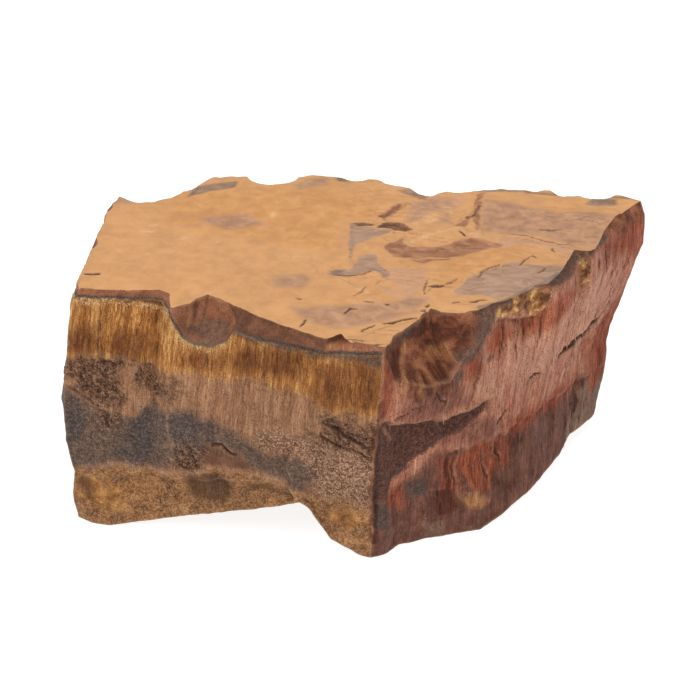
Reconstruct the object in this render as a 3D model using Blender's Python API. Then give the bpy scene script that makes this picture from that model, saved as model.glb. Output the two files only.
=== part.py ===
"""A rough block of tiger's eye, broken out of its seam: one stone, one solid.

The flat top is the old wall of the seam. The fibres of the stone run straight down from it, so
the four sides are splintery breaks. The walls are lofted between hand-placed rows of points, the
two ends are height fields on the outline of those rows, and the flake scars, ledges and pits are
carved into both. All lengths here are millimetres; they become metres when the mesh is made.

Axes: +X runs along the block, +Y to its back, +Z up. The origin is under the middle of the box.
"""

import math
from typing import NamedTuple

import bpy
import numpy as np
from mathutils import Vector, noise
from mathutils.geometry import delaunay_2d_cdt

MM = 0.001
STONE = "tigers_eye_block"

# Mesh fineness before it is thinned, and the share of the triangles that is kept.
STEP = 1.25
UNDERSIDE_STEP = 2.6
BAND_ROWS = 4
KEPT_SHARE = 0.30
FILL_MARGIN = 0.45

# The skin, the flat top, as a plane: its height at the middle and its rise along X and Y.
SKIN_HEIGHT = 48.8
SKIN_RISE_X = -0.024
SKIN_RISE_Y = 0.036

# The crust under the skin's edge: how far it drops and stands out. Where a scar widens it beyond
# its free width, it sags in by a share of the rest, and down by a share of that.
CRUST_DROP = 1.6
CRUST_OUT = 0.6
SAG_FREE_WIDTH = 2.5
SAG_SHARE = 0.64
SAG_DROP = 0.6

# Swell of the surfaces, as height and size of the waves: on the walls they are drawn out along
# the fibres (height, across, down), on the skin they are even (height, size).
WALL_SWELL = [(0.75, 9.0, 30.0), (0.35, 2.8, 14.0)]
SKIN_SWELL = [(0.45, 20.0), (0.10, 6.0)]

# Roughness of the straight edges. It fades out near the ground, and the relief of a wall fades
# out near its corner edges, its crust and its base.
EDGE_ROUGHNESS = 0.22
EDGE_GRAIN = 4.0
EDGE_SEEDS = (3.1, 17.7, 29.3)
GROUND_FADE = 4.0
POST_MARGIN = 2.0
CRUST_MARGIN = 1.2

# How a ledge's drop tapers off to its ends and recovers away from its line.
LEDGE_END_SHARE = 0.2
LEDGE_RECOVERY = 1.3

# How far in the underside stays lifted, measured from each raised stretch of the base.
HOLLOW_REACH = 25.0
EDGE_LIFT_REACH = 12.0

# Pits in the underside. They keep clear of its rim and of a flat spot that the stone rests on.
PIT_SIZE = 8.0
PIT_DEPTH = 2.4
PIT_LEVEL = 0.12
PIT_SEED = 5
REST_SPOT = (8.0, 10.0)
REST_SPOT_RADIUS = 7.0

# Chips knocked out of the edges of the three plain walls by balls that sit just outside them.
CHIPS = 20
CHIP_RADIUS = (3.5, 7.5)
CHIP_BITE = (0.4, 1.2)
CHIP_LOW_SHARE = 0.35
CHIP_SEED = 11
CHIP_STEEPNESS = 1.6
FIRST_PLAIN_WALL = 2
MIDDLE = (0.0, 0.0, 24.0)

STONE_COLOUR = (0.31, 0.15, 0.075, 1)
STONE_ROUGHNESS = 0.62


class Ledge(NamedTuple):
    """A broken step: the surface drops on the left of the line and recovers over its reach."""

    line: list
    drop: float
    reach: float
    width: float


class Flake(NamedTuple):
    """A shell-shaped scar with a crisp rim, as (way along the wall, height)."""

    middle: tuple
    radii: tuple
    deepest: float


class Wall(NamedTuple):
    """One wall: the rows of points that it is lofted between, and its ledges and flakes.

    The skin row is in (x, y), the others in (x, y, z). The ledges are in (way along, height).
    """

    seed: float
    skin: list
    base: list
    start_post: list
    end_post: list
    lift_reach: float
    crust: list
    ledges: list
    flakes: list


# Corner edges of the walls, from the crust to the base.
LEFT_POST = [
    (-54.5, -20, 48.5), (-55.5, -20, 44), (-56.5, -20, 37.5), (-57.5, -20, 31), (-58, -20, 24.5),
    (-58, -20, 18), (-57, -20, 11), (-57.5, -20, 4.5), (-57, -19.5, 0),
]
FRONT_POST = [
    (3, -38.5, 46), (3, -38.5, 42), (2.5, -38, 36.5), (2, -37.5, 30), (1.5, -36.5, 21),
    (1, -35.5, 14), (1.5, -35, 7), (1, -34, 0),
]
RIGHT_POST = [
    (59, 26.5, 46), (59, 26, 39.5), (57.5, 25.5, 34.5), (56, 25, 30), (54.5, 24.5, 25.5),
    (53, 24, 21), (52.5, 23.5, 18.5), (52.5, 23, 13.5), (51.5, 21, 8.5), (50, 18, 2.5),
]
BACK_POST = [(1.8, 37, 48.5), (3, 38.5, 38), (4, 39, 24), (3, 38.5, 10), (2, 38, 0)]
REAR_LEFT_POST = [(-53, 23.5, 49.2), (-55, 26, 38), (-55.5, 28, 22), (-54, 28, 8), (-51, 26, 0)]

FRONT_LEFT = Wall(
    seed=10,
    skin=[
        (-54.5, -18.5), (-49.5, -18.5), (-44, -18.5), (-38.5, -18), (-36.5, -19.5), (-36, -24.5),
        (-34, -23.5), (-32.5, -23), (-31.5, -21), (-29.5, -19), (-24.5, -23), (-18.5, -28),
        (-10.5, -33.5), (-7.5, -36), (-4.5, -33.5), (-3, -37), (0.5, -38), (3.5, -38),
    ],
    base=[
        (-57, -19.5, 0), (-54, -21.5, 0), (-50.5, -22.5, 0), (-42.5, -23, 1.5), (-32, -25.5, 4.5),
        (-22, -28.5, 7.5), (-12.5, -31, 10.5), (-10.5, -32, 9.5), (-9, -32.5, 7), (-7, -33, 4),
        (-3, -34, 2), (-1, -34, 0.5), (1, -34, 0),
    ],
    start_post=LEFT_POST,
    end_post=FRONT_POST,
    lift_reach=HOLLOW_REACH,
    crust=[
        (-54.5, -20, 48.5), (-49, -20, 48.5), (-43.5, -20.5, 48.5), (-38, -21, 48.5),
        (-36.5, -24.5, 48.5), (-35.5, -26, 46), (-34, -26.5, 43.5), (-31.5, -27.5, 42.5),
        (-28.5, -28.5, 42.5), (-25.5, -29, 44), (-24, -30, 46.5), (-19, -31.5, 45),
        (-12.5, -33.5, 45), (-7.5, -35, 44.5), (-4.5, -36, 45), (3, -38.5, 46),
    ],
    ledges=[
        Ledge([(25, 35.5), (14, 36), (0, 36.5)], 0.6, 9, 1.2),
        Ledge([(46.5, 10), (44.5, 17.5), (47, 24)], 1.3, 12, 1.4),
        Ledge([(44, 15.5), (27, 13), (12, 12), (0, 10.5)], 0.9, 9, 1.4),
        Ledge([(60, 33), (54, 33), (49, 30)], 0.8, 6, 1.0),
        Ledge([(49, 35), (44.5, 35.5), (38, 37), (33, 37)], 0.5, 5, 0.8),
    ],
    flakes=[Flake((52, 16), (10, 13), 0.8), Flake((34, 30), (9, 7), 0.5)],
)

FRONT_RIGHT = Wall(
    seed=11,
    skin=[
        (3.5, -38), (4.2, -36), (4.8, -33.3), (6.2, -32.3), (7.7, -30.5), (9.5, -27.5),
        (10.7, -24.7), (11.8, -23), (13.7, -23.7), (17.5, -24), (20.3, -23.3), (22, -21.7),
        (23.5, -20.5), (26, -19.2), (28.5, -17), (30.5, -15), (32, -13), (34.5, -12), (37, -8.5),
        (39.5, -2), (41.5, 4), (44, 2.5), (46, 5), (47.5, 9), (49, 13.5), (51.5, 18.5), (54, 22),
        (58, 27.5),
    ],
    base=[
        (1, -34, 0), (3.5, -33, 0), (6.5, -29.5, 0), (12.5, -27, 0), (20.5, -24.5, 0),
        (22.5, -24, 0), (27, -19.5, 0.5), (33.5, -11.5, 1.5), (40.5, 0.5, 2.5), (43.5, 8, 3),
        (49, 16, 2.5), (50, 18, 2.5),
    ],
    start_post=FRONT_POST,
    end_post=RIGHT_POST,
    lift_reach=EDGE_LIFT_REACH,
    crust=[
        (3, -38.5, 46), (4, -38, 43.5), (5, -37, 40.5), (8, -34.5, 38), (11.5, -32, 36),
        (15.5, -29, 35.5), (17.5, -27, 38.5), (19.5, -25.5, 41), (21, -24.5, 43.5),
        (22, -23.5, 46), (23.5, -21.5, 46.5), (26, -20, 47), (29, -17, 47), (32, -13, 47),
        (37, -11, 46.5), (40.5, -5.5, 46.5), (42, 0.5, 47), (45, 3, 47), (47.5, 8, 46.5),
        (49.5, 12.5, 47), (54.5, 20, 46.5), (59, 26.5, 46),
    ],
    ledges=[
        Ledge([(26, 28), (20.5, 27), (15.5, 27.3), (9.5, 28.5), (3, 31), (-1, 32)], 1.9, 11, 0.8),
        Ledge([(42, 28), (39.5, 27)], 0.6, 3, 0.5),
        Ledge([(33, 23.3), (30.5, 21.5)], 0.6, 3, 0.5),
        Ledge([(86, 13), (71, 14.5), (56, 17.5), (43, 19.5), (35.5, 18.5), (28, 19.5)], 1.0, 12, 1.6),
        Ledge([(41, 44.5), (39.5, 41.8), (36, 41.8), (28, 44.8)], 1.5, 7, 0.8),
    ],
    flakes=[Flake((70, 20), (16, 9), 0.8), Flake((36, 10), (13, 8), 0.9)],
)

BACK_RIGHT = Wall(
    seed=12,
    skin=[
        (58, 27.5), (54, 29.5), (50, 29.5), (41.5, 31), (39.5, 32), (29, 32), (23.5, 31),
        (18, 29.5), (14, 27.5), (11.5, 28.5), (9.5, 31.5), (5.5, 34), (1.5, 36.5),
    ],
    base=[(50, 18, 2.5), (49, 25, 1.5), (39, 31, 0), (20, 34, 0), (2, 38, 0)],
    start_post=RIGHT_POST,
    end_post=BACK_POST,
    lift_reach=EDGE_LIFT_REACH,
    crust=[],
    ledges=[
        Ledge([(38, 22), (27, 24.5), (16, 22), (4, 24)], 1.3, 9, 1.0),
        Ledge([(28, 44), (36, 41), (44, 43)], 1.0, 6, 0.8),
    ],
    flakes=[Flake((18, 31), (17, 14), 2.6), Flake((40, 18), (15, 16), 2.2), Flake((8, 12), (9, 10), 1.2)],
)

BACK_LEFT = Wall(
    seed=9,
    skin=[
        (1.5, 36.5), (-4, 36.5), (-7.5, 36.5), (-11.5, 37), (-14, 35.5), (-17.5, 33), (-22, 33.5),
        (-25, 35.5), (-32, 35), (-35.5, 29.5), (-38, 27), (-40, 23.5), (-43.5, 21.5), (-47, 21.5),
        (-51, 24), (-52.5, 23),
    ],
    base=[(2, 38, 0), (-15, 39, 0), (-30, 35, 0), (-42, 31, 0), (-51, 26, 0)],
    start_post=BACK_POST,
    end_post=REAR_LEFT_POST,
    lift_reach=EDGE_LIFT_REACH,
    crust=[],
    ledges=[
        Ledge([(46, 13.5), (30, 14.5), (16, 12), (3, 13)], 1.1, 8, 1.2),
        Ledge([(50, 36), (42, 37.5), (31, 35), (20, 38)], 0.9, 6, 0.9),
    ],
    flakes=[Flake((14, 27), (13, 16), 2.3), Flake((37, 18), (16, 13), 2.6), Flake((45, 37), (9, 8), 1.5)],
)

LEFT_END = Wall(
    seed=8,
    skin=[(-52.5, 23), (-52.5, 14), (-53, 7.5), (-53.5, -4.5), (-54, -11.5), (-54.5, -18.5)],
    base=[(-51, 26, 0), (-55, 12, 0), (-57.5, 0, 0), (-58, -10, 0), (-57, -19.5, 0)],
    start_post=REAR_LEFT_POST,
    end_post=LEFT_POST,
    lift_reach=EDGE_LIFT_REACH,
    crust=[],
    ledges=[
        Ledge([(40, 12.5), (27, 12), (15, 13.5), (3, 13)], 1.1, 8, 1.2),
        Ledge([(3, 35), (12, 37), (21, 35.5)], 0.9, 6, 0.9),
    ],
    flakes=[Flake((13, 31), (12, 12), 1.8), Flake((30, 15), (12, 12), 2.1), Flake((35, 38), (7, 7), 1.1)],
)

# The walls in order, seen from above anticlockwise from the left front corner.
WALLS = [FRONT_LEFT, FRONT_RIGHT, BACK_RIGHT, BACK_LEFT, LEFT_END]

# Ledges on the skin, in (x, y).
SKIN_LEDGES = [
    Ledge([(2.5, 13), (-0.5, 13.4), (-3.2, 13)], 0.6, 6, 0.45),
    Ledge([(9.5, 25), (7.5, 23), (5.5, 20), (4, 17.5), (2.5, 18)], 0.7, 8, 0.5),
    Ledge([(9.5, 10.5), (8, 12.3), (7, 14), (5, 15), (4, 14.3), (3, 11.8)], 0.9, 6, 0.7),
    Ledge([(18.5, 14), (22, 18.5), (23.5, 23), (25, 30.5)], 0.9, 9, 0.9),
    Ledge(
        [(27.5, 5), (26.5, 6.5), (24, 7.5), (21, 8), (18, 6.5), (13.5, 3.5), (8.5, 3), (7.5, 5), (8, 7.5)],
        0.7, 9, 1.4,
    ),
    Ledge([(46, 5.5), (38.5, 5.5), (35, 6.5), (31.5, 9), (28.5, 11)], 0.4, 10, 0.8),
    Ledge([(-10, -7.5), (-9.5, -9.3), (-7.5, -10), (-4.5, -12), (-1.5, -16)], 0.45, 8, 0.5),
    Ledge([(9.5, -26.5), (6.5, -27.5), (4.5, -29), (3, -29.5)], 0.35, 5, 0.35),
    Ledge([(18, -13.5), (14, -13.5), (12, -14.5), (10.5, -17)], 0.4, 5, 0.5),
]


def smooth(value):
    """Eases from 0 to 1 as a value goes from 0 to 1."""
    value = np.clip(value, 0, 1)
    return value * value * (3 - 2 * value)


def waves(points, seed):
    """Smooth noise from -1 to 1 at each point; the seed shifts it to another part of the noise."""
    return np.array([noise.noise(Vector(p) + Vector((seed, 2.3 * seed, 0))) for p in points])


def flat_waves(p, q, across, down, seed):
    """Smooth noise at places (p, q), with cells that measure across by down."""
    return waves(np.column_stack([p / across, q / down, 0 * p]), seed)


def room_inside(x, y, loop):
    """How far each point lies inside a closed outline; negative outside it."""
    within = np.zeros(len(x), bool)
    nearest = np.full(len(x), np.inf)
    for (ax, ay), (bx, by) in zip(loop, np.roll(loop, -1, axis=0)):
        crosses = (ay > y) != (by > y)
        rise = np.where(by == ay, 1, by - ay)
        within ^= crosses & (x < (bx - ax) * (y - ay) / rise + ax)
        run = np.array((bx - ax, by - ay))
        share = np.clip(((x - ax) * run[0] + (y - ay) * run[1]) / max(run @ run, 1e-12), 0, 1)
        nearest = np.minimum(nearest, np.hypot(x - ax - share * run[0], y - ay - share * run[1]))
    return np.where(within, nearest, -nearest)


def spread(row, shares):
    """Points on a row at shares of the straight way between its ends."""
    chord = row[-1, :2] - row[0, :2]
    travelled = (row[:, :2] - row[0, :2]) @ chord / (chord @ chord)
    travelled = np.maximum.accumulate(travelled)
    return np.stack([np.interp(shares, travelled, row[:, k]) for k in range(3)], axis=1)


def spread_down(post, shares):
    """Points on a corner edge at shares of its length."""
    lengths = np.linalg.norm(np.diff(post, axis=0), axis=1)
    travelled = np.concatenate([[0], np.cumsum(lengths)]) / lengths.sum()
    return np.stack([np.interp(shares, travelled, post[:, k]) for k in range(3)], axis=1)


def skin_height(x, y):
    """Height of the top plane at a place."""
    return SKIN_HEIGHT + SKIN_RISE_X * x + SKIN_RISE_Y * y


def skin_row(wall):
    """The skin's edge above one wall, in space."""
    return np.array([(x, y, skin_height(x, y)) for x, y in wall.skin])


def wall_length(wall):
    """The straight way between the wall's corners, seen from above."""
    return float(np.hypot(*np.subtract(wall.skin[-1], wall.skin[0])))


def wall_out(wall):
    """The level direction that points out of the wall."""
    along = np.subtract(wall.skin[-1], wall.skin[0]) / wall_length(wall)
    return np.array((along[1], -along[0]))


def crust_row(wall):
    """The crust's lower edge: stated where scars cut it, and otherwise just below the skin."""
    if wall.crust:
        return np.array(wall.crust, float)
    row = skin_row(wall)
    row[:, :2] += CRUST_OUT * wall_out(wall)
    row[:, 2] -= CRUST_DROP
    row[0] = wall.start_post[0]
    row[-1] = wall.end_post[0]
    return row


def face_points(wall, columns, rows):
    """A Coons patch between the crust row, the base row and the two corner edges."""
    across = np.linspace(0, 1, columns + 1)
    down = np.linspace(0, 1, rows + 1)
    top = spread(crust_row(wall), across)[:, None]
    bottom = spread(np.array(wall.base, float), across)[:, None]
    start = spread_down(np.array(wall.start_post, float), down)[None]
    end = spread_down(np.array(wall.end_post, float), down)[None]
    u = across[:, None, None]
    v = down[None, :, None]
    upper = (1 - u) * (1 - v) * top[0] + u * (1 - v) * top[-1]
    lower = (1 - u) * v * bottom[0] + u * v * bottom[-1]
    return (1 - v) * top + v * bottom + (1 - u) * start + u * end - upper - lower


def band_points(wall, columns, rows):
    """The crust band, from the skin's edge to the top of the wall, without its last row."""
    across = np.linspace(0, 1, columns + 1)
    upper = spread(skin_row(wall), across)[:, None]
    lower = spread(crust_row(wall), across)[:, None]
    share = np.linspace(0, 1, rows + 1)[None, :-1, None]
    points = (1 - share) * upper + share * lower
    width = np.linalg.norm(lower - upper, axis=2, keepdims=True)
    sag = SAG_SHARE * np.maximum(width - SAG_FREE_WIDTH, 0) * share * (1 - share)
    points[..., :2] -= sag * wall_out(wall)
    points[..., 2:] -= SAG_DROP * sag
    return points


def ledge_depth(p, q, ledge):
    """How far each place is lowered by a ledge."""
    line = np.array(ledge.line, float)
    nearest = np.full(len(p), np.inf)
    left = np.zeros(len(p))
    way = np.zeros(len(p))
    lengths = np.linalg.norm(np.diff(line, axis=0), axis=1)
    travelled = np.concatenate([[0], np.cumsum(lengths)]) / lengths.sum()
    for i, (start, run) in enumerate(zip(line, np.diff(line, axis=0))):
        share = np.clip(((p - start[0]) * run[0] + (q - start[1]) * run[1]) / (run @ run), 0, 1)
        dp, dq = p - start[0] - share * run[0], q - start[1] - share * run[1]
        gap = np.hypot(dp, dq)
        closer = gap < nearest
        nearest = np.where(closer, gap, nearest)
        left = np.where(closer, run[0] * dq - run[1] * dp, left)
        way = np.where(closer, travelled[i] + share * (travelled[i + 1] - travelled[i]), way)
    taper = LEDGE_END_SHARE + (1 - LEDGE_END_SHARE) * np.sqrt(np.clip(4 * way * (1 - way), 0, 1))
    fall = smooth(nearest / ledge.width) * np.clip(1 - nearest / ledge.reach, 0, 1) ** LEDGE_RECOVERY
    return ledge.drop * taper * np.where(left > 0, fall, 0)


def flake_depth(p, q, flake):
    """Depth of a flake scar at each place."""
    r2 = ((p - flake.middle[0]) / flake.radii[0]) ** 2 + ((q - flake.middle[1]) / flake.radii[1]) ** 2
    return flake.deepest * np.clip(1 - r2, 0, 1)


def skin_relief(x, y):
    """Rise of the skin above its plane."""
    rise = np.zeros(len(x))
    for ledge in SKIN_LEDGES:
        rise -= ledge_depth(x, y, ledge)
    for height, size in SKIN_SWELL:
        rise += height * flat_waves(x, y, size, size, size)
    return rise


def wall_relief(wall, along, z):
    """How far a wall stands out of its smooth loft."""
    rise = np.zeros(len(z))
    for ledge in wall.ledges:
        rise -= ledge_depth(along, z, ledge)
    for flake in wall.flakes:
        rise -= flake_depth(along, z, flake)
    for height, across, down in WALL_SWELL:
        rise += height * flat_waves(along, z, across, down, wall.seed + across)
    return rise


def carved_grid(wall, columns, rows):
    """The band and the face of one wall, with their relief, as a grid of points."""
    grid = np.concatenate([band_points(wall, columns, BAND_ROWS), face_points(wall, columns, rows)], axis=1)
    share = np.linspace(0, 1, columns + 1)[:, None] + np.zeros(grid.shape[:2])
    along = share * wall_length(wall)
    level = np.arange(grid.shape[1])[None, :] - BAND_ROWS
    below_crust = level / rows * SKIN_HEIGHT
    above_base = (rows - level) / rows * SKIN_HEIGHT
    weight = smooth(np.minimum(along, wall_length(wall) - along) / POST_MARGIN)
    weight = weight * smooth(below_crust / CRUST_MARGIN) * smooth(above_base / CRUST_MARGIN)
    relief = wall_relief(wall, along.ravel(), grid[..., 2].ravel()).reshape(along.shape)
    grid[..., :2] += (weight * relief)[..., None] * wall_out(wall)
    on_skin = np.clip(-level / BAND_ROWS, 0, 1)
    grid[..., 2] += on_skin * skin_relief(grid[..., 0].ravel(), grid[..., 1].ravel()).reshape(along.shape)
    return grid


def roughen(points):
    """Breaks up the straight edges with a little noise, and keeps the ground contact flat."""
    shift = np.column_stack([waves(points / EDGE_GRAIN, seed) for seed in EDGE_SEEDS])
    shift[:, 2] *= smooth(points[:, 2] / GROUND_FADE)
    points += EDGE_ROUGHNESS * shift


def lift(wall, x, y):
    """How far the underside is lifted behind the raised stretch of one wall's base."""
    row = np.array(wall.base, float)
    chord = row[-1, :2] - row[0, :2]
    chord = chord / np.linalg.norm(chord)
    inward = np.array((-chord[1], chord[0]))
    along = (row[:, :2] - row[0, :2]) @ chord
    inset = (row[:, :2] - row[0, :2]) @ inward
    here_along = (x - row[0, 0]) * chord[0] + (y - row[0, 1]) * chord[1]
    here_inset = (x - row[0, 0]) * inward[0] + (y - row[0, 1]) * inward[1]
    raised = np.interp(here_along, along, row[:, 2], left=0, right=0)
    depth = (here_inset - np.interp(here_along, along, inset)) / wall.lift_reach
    return raised * np.sqrt(1 - np.clip(depth, 0, 1) ** 2)


def underside_height(x, y, loop):
    """Height of the underside: lifted behind the raised stretches of the base, and pitted."""
    height = np.zeros(len(x))
    for wall in WALLS:
        height = np.maximum(height, lift(wall, x, y))
    pits = PIT_DEPTH * np.clip(flat_waves(x, y, PIT_SIZE, PIT_SIZE, PIT_SEED) - PIT_LEVEL, 0, 1)
    from_spot = np.hypot(x - REST_SPOT[0], y - REST_SPOT[1]) - REST_SPOT_RADIUS
    pits *= smooth(from_spot / PIT_SIZE) * smooth(room_inside(x, y, loop) / PIT_SIZE)
    return height + pits


def knock_chips(points, grids):
    """Pushes the points near some edge points in, onto the surface of a ball outside."""
    draw = np.random.default_rng(CHIP_SEED)
    for _ in range(CHIPS):
        low = draw.random() < CHIP_LOW_SHARE
        wall = draw.integers(FIRST_PLAIN_WALL, len(grids))
        column = int(draw.random() * len(grids[wall]))
        edge = grids[wall][column, -1 if low else 0]
        radius = draw.uniform(*CHIP_RADIUS)
        away = (edge - MIDDLE) * (1, 1, CHIP_STEEPNESS)
        centre = edge + away / np.linalg.norm(away) * (radius - draw.uniform(*CHIP_BITE))
        offset = points - centre
        gap = np.linalg.norm(offset, axis=1)
        hit = gap < radius
        points[hit] = centre + offset[hit] / gap[hit, None] * radius


def cap_faces(loop, step):
    """Fills a closed outline with near-even triangles. New points follow those of the outline."""
    row_step = step * math.sqrt(0.75)
    low, high = loop.min(0), loop.max(0)
    rows = int((high[1] - low[1]) / row_step) + 1
    columns = int((high[0] - low[0]) / step) + 1
    row, column = np.divmod(np.arange(rows * columns), columns)
    x = low[0] + step * (column + row % 2 / 2)
    y = low[1] + row_step * row
    keep = room_inside(x, y, loop) > FILL_MARGIN * step
    points = np.concatenate([loop, np.stack([x[keep], y[keep]], axis=1)])
    count = len(loop)
    edges = [(i, (i + 1) % count) for i in range(count)]
    found = delaunay_2d_cdt([Vector(p) for p in points], edges, [list(range(count))], 1, 1e-7)
    origin = [olds[0] for olds in found[3]]
    return points[count:], [[origin[i] for i in face] for face in found[2]]


def stone_mesh():
    """The carved block: its points, and its faces pointing out."""
    rows = round(SKIN_HEIGHT / STEP)
    grids = [carved_grid(wall, round(wall_length(wall) / STEP), rows) for wall in WALLS]
    ring = np.concatenate([grid[:-1] for grid in grids])
    columns, levels = ring.shape[:2]
    sides = ring.reshape(-1, 3)
    roughen(sides)

    top_loop, base_loop = ring[:, 0, :2], ring[:, -1, :2]
    top_xy, top_faces = cap_faces(top_loop, STEP)
    base_xy, base_faces = cap_faces(base_loop, UNDERSIDE_STEP)
    top = np.column_stack([top_xy, skin_height(*top_xy.T) + skin_relief(*top_xy.T)])
    base = np.column_stack([base_xy, underside_height(*base_xy.T, base_loop)])
    points = np.concatenate([sides, top, base])
    knock_chips(points, grids)
    points[:, 2] = np.maximum(points[:, 2], 0)

    faces = []
    for column in range(columns):
        here, after = column * levels, (column + 1) % columns * levels
        for level in range(levels - 1):
            faces.append((here + level, here + level + 1, after + level + 1, after + level))
    first = np.arange(columns) * levels
    top_index = np.concatenate([first, len(sides) + np.arange(len(top))])
    base_index = np.concatenate([first + levels - 1, len(sides) + len(top) + np.arange(len(base))])
    faces += [tuple(int(top_index[i]) for i in face) for face in top_faces]
    faces += [tuple(int(base_index[i]) for i in reversed(face)) for face in base_faces]
    return points, faces


def stone_material():
    """Golden brown stone, dull where it broke."""
    material = bpy.data.materials.new("golden_brown_stone")
    material.use_nodes = True
    shader = material.node_tree.nodes["Principled BSDF"]
    shader.inputs["Base Color"].default_value = STONE_COLOUR
    shader.inputs["Roughness"].default_value = STONE_ROUGHNESS
    shader.inputs["Metallic"].default_value = 0
    return material


def build_stone(collection):
    """Makes the stone as one object, thinned to the triangles that its shape needs."""
    points, faces = stone_mesh()
    mesh = bpy.data.meshes.new(STONE)
    mesh.from_pydata((points * MM).tolist(), [], faces)
    mesh.materials.append(stone_material())
    stone = bpy.data.objects.new(STONE, mesh)
    collection.objects.link(stone)
    thinned = stone.modifiers.new("thinned", "DECIMATE")
    thinned.ratio = KEPT_SHARE


def main():
    """Empties the scene and builds the stone."""
    for obj in list(bpy.data.objects):
        bpy.data.objects.remove(obj, do_unlink=True)
    collection = bpy.data.collections.new("rough_tigers_eye")
    bpy.context.scene.collection.children.link(collection)
    build_stone(collection)


main()
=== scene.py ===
"""The finished look of a rough block of tiger's eye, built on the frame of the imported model.

The block was broken out of its seam. Its flat top is the old wall of the seam, a smooth tan skin
over a thin dark crust. The fibres of the stone run straight down from it, in level layers: gold,
tan, blue grey and gold again on the left, pink and red on the right.

All lengths are millimetres until a mesh is made. +X runs along the block, +Y to its back, +Z up.
"""

import logging
import math
from dataclasses import dataclass, field
from enum import Enum
from typing import Any, Iterable, Mapping, Optional, Sequence, Union

import bpy
import numpy as np
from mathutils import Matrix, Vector, noise
from mathutils.geometry import delaunay_2d_cdt

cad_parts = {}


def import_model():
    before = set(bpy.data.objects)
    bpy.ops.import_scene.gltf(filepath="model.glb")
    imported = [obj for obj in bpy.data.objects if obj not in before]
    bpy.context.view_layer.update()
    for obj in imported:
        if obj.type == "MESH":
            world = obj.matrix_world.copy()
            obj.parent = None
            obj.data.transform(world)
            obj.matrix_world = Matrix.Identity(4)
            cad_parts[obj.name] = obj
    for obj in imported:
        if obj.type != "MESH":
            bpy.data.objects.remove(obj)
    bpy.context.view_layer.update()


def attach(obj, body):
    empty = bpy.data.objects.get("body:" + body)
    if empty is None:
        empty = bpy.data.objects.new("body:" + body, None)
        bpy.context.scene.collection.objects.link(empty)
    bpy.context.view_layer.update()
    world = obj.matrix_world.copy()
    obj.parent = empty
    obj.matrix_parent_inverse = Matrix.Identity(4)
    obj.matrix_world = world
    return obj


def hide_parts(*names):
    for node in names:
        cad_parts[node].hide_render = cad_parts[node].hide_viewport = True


log = logging.getLogger("tigers_eye")

MM = 0.001
PIECE = "rough_tigers_eye"
NODE = "tigers_eye_block"
BODY = "root"
GRAIN = "grain_mm"
EDGE_ROOM = "edge_room_mm"
# Masks for the painted shade in the mesh's hollows and the painted highlight on its ridges.
PAINTED_HOLLOW_SHADE = "hollow"
PAINTED_RIDGE_HIGHLIGHT = "ridge_highlight"

FAR_OUTSIDE = -60.0
TINY = 1e-12
SEED_SLANT = 2.3
WANDER_SEEDS = (83, 97)

Array = np.ndarray
Pair = tuple[float, float]
Triple = tuple[float, float, float]
Points = Sequence[tuple[float, ...]]
Node = bpy.types.Node
NodeTree = bpy.types.NodeTree
Socket = bpy.types.NodeSocket
Value = Union[float, Socket]


class Zone(Enum):
    """The kinds of surface on the stone, each with its own finish; the value is the finish's number."""

    WALL = 0
    SKIN = 1
    UNDERSIDE = 2


class Stain(Enum):
    """The colours, flaws, painted shade and painted highlights that show in places; the value is the
    attribute's name.
    """

    REDNESS = "stain_redness"
    GOLD = "stain_gold"
    CREAM = "stain_cream"
    RUST = "stain_rust"
    GRIT = "stain_grit"
    BLUE = "stain_blue"
    BROWN = "stain_brown"
    LOWER = "stain_lower"
    YELLOW = "stain_yellow"
    OLIVE = "stain_olive"
    SPECKLE = "stain_speckle"
    RED = "stain_red"
    MAUVE = "stain_mauve"
    FACET = "stain_facet"
    DUSK = "stain_dusk"
    FLAME = "stain_flame"
    TAUPE = "stain_taupe"
    # A gold nugget in the stone, its brightest specks painted glints of its glassy grains.
    NUGGET_AND_GLINTS = "stain_nugget"
    # Pale lines of the stone, and painted highlights and glints on the walls.
    PALE_AND_HIGHLIGHT = "stain_pale"
    INK = "stain_ink"
    CRUST = "stain_crust"
    SCOOP = "stain_scoop"
    RIM = "stain_rim"
    OLD_SCAR = "stain_old_scar"
    CRACK = "stain_crack"
    HAIRLINE = "stain_hairline"
    # Painted sheen: greyish patches where smooth facets of the top reflect the light.
    LILAC_SHEEN = "stain_lilac"
    WARM = "stain_warm"
    PINK = "stain_pink"
    # Painted shade: brown crescents where the top is scooped, and steep faces of its ledges.
    LENS_SHADE = "stain_lens"
    # Painted shadow under the overhanging steps of the top and on their steep risers.
    OVERHANG_SHADOW = "stain_undercut"
    SLATE = "stain_slate"
    # Pale flecks of the stone, and painted highlights along the lit edges of steps on the top.
    FLECK_AND_LIT_EDGE = "stain_fleck"
    BLUE_CORE = "stain_blue_core"
    OCHRE = "stain_ochre"
    # Painted sheen: soft greyish patches on facets of the top that catch the light.
    HAZE_SHEEN = "stain_haze"
    SHADE = "stain_shade"
    DARK = "stain_dark"
    ROSE = "stain_rose"


class Pattern(Enum):
    """What the shades of a colour follow."""

    FIBRES = "fibres"
    MOTTLE = "mottle"
    GRAINS = "grains"
    SCRATCHES = "scratches"
    BROAD = "broad"


def smooth(value: Array) -> Array:
    """Eases from 0 to 1 as a value goes from 0 to 1."""
    value = np.clip(value, 0, 1)
    return value * value * (3 - 2 * value)


def waves(points: Array, seed: float) -> Array:
    """Smooth noise from -1 to 1 at each point.

    Args:
        points: The places, one a row, in units of the noise's own size.
        seed: Shifts the noise, so that two seeds give two patterns.

    Returns:
        One value for each point.
    """
    shift = Vector((seed, SEED_SLANT * seed, 0))
    return np.array([noise.noise(Vector(p) + shift) for p in points])


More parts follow.
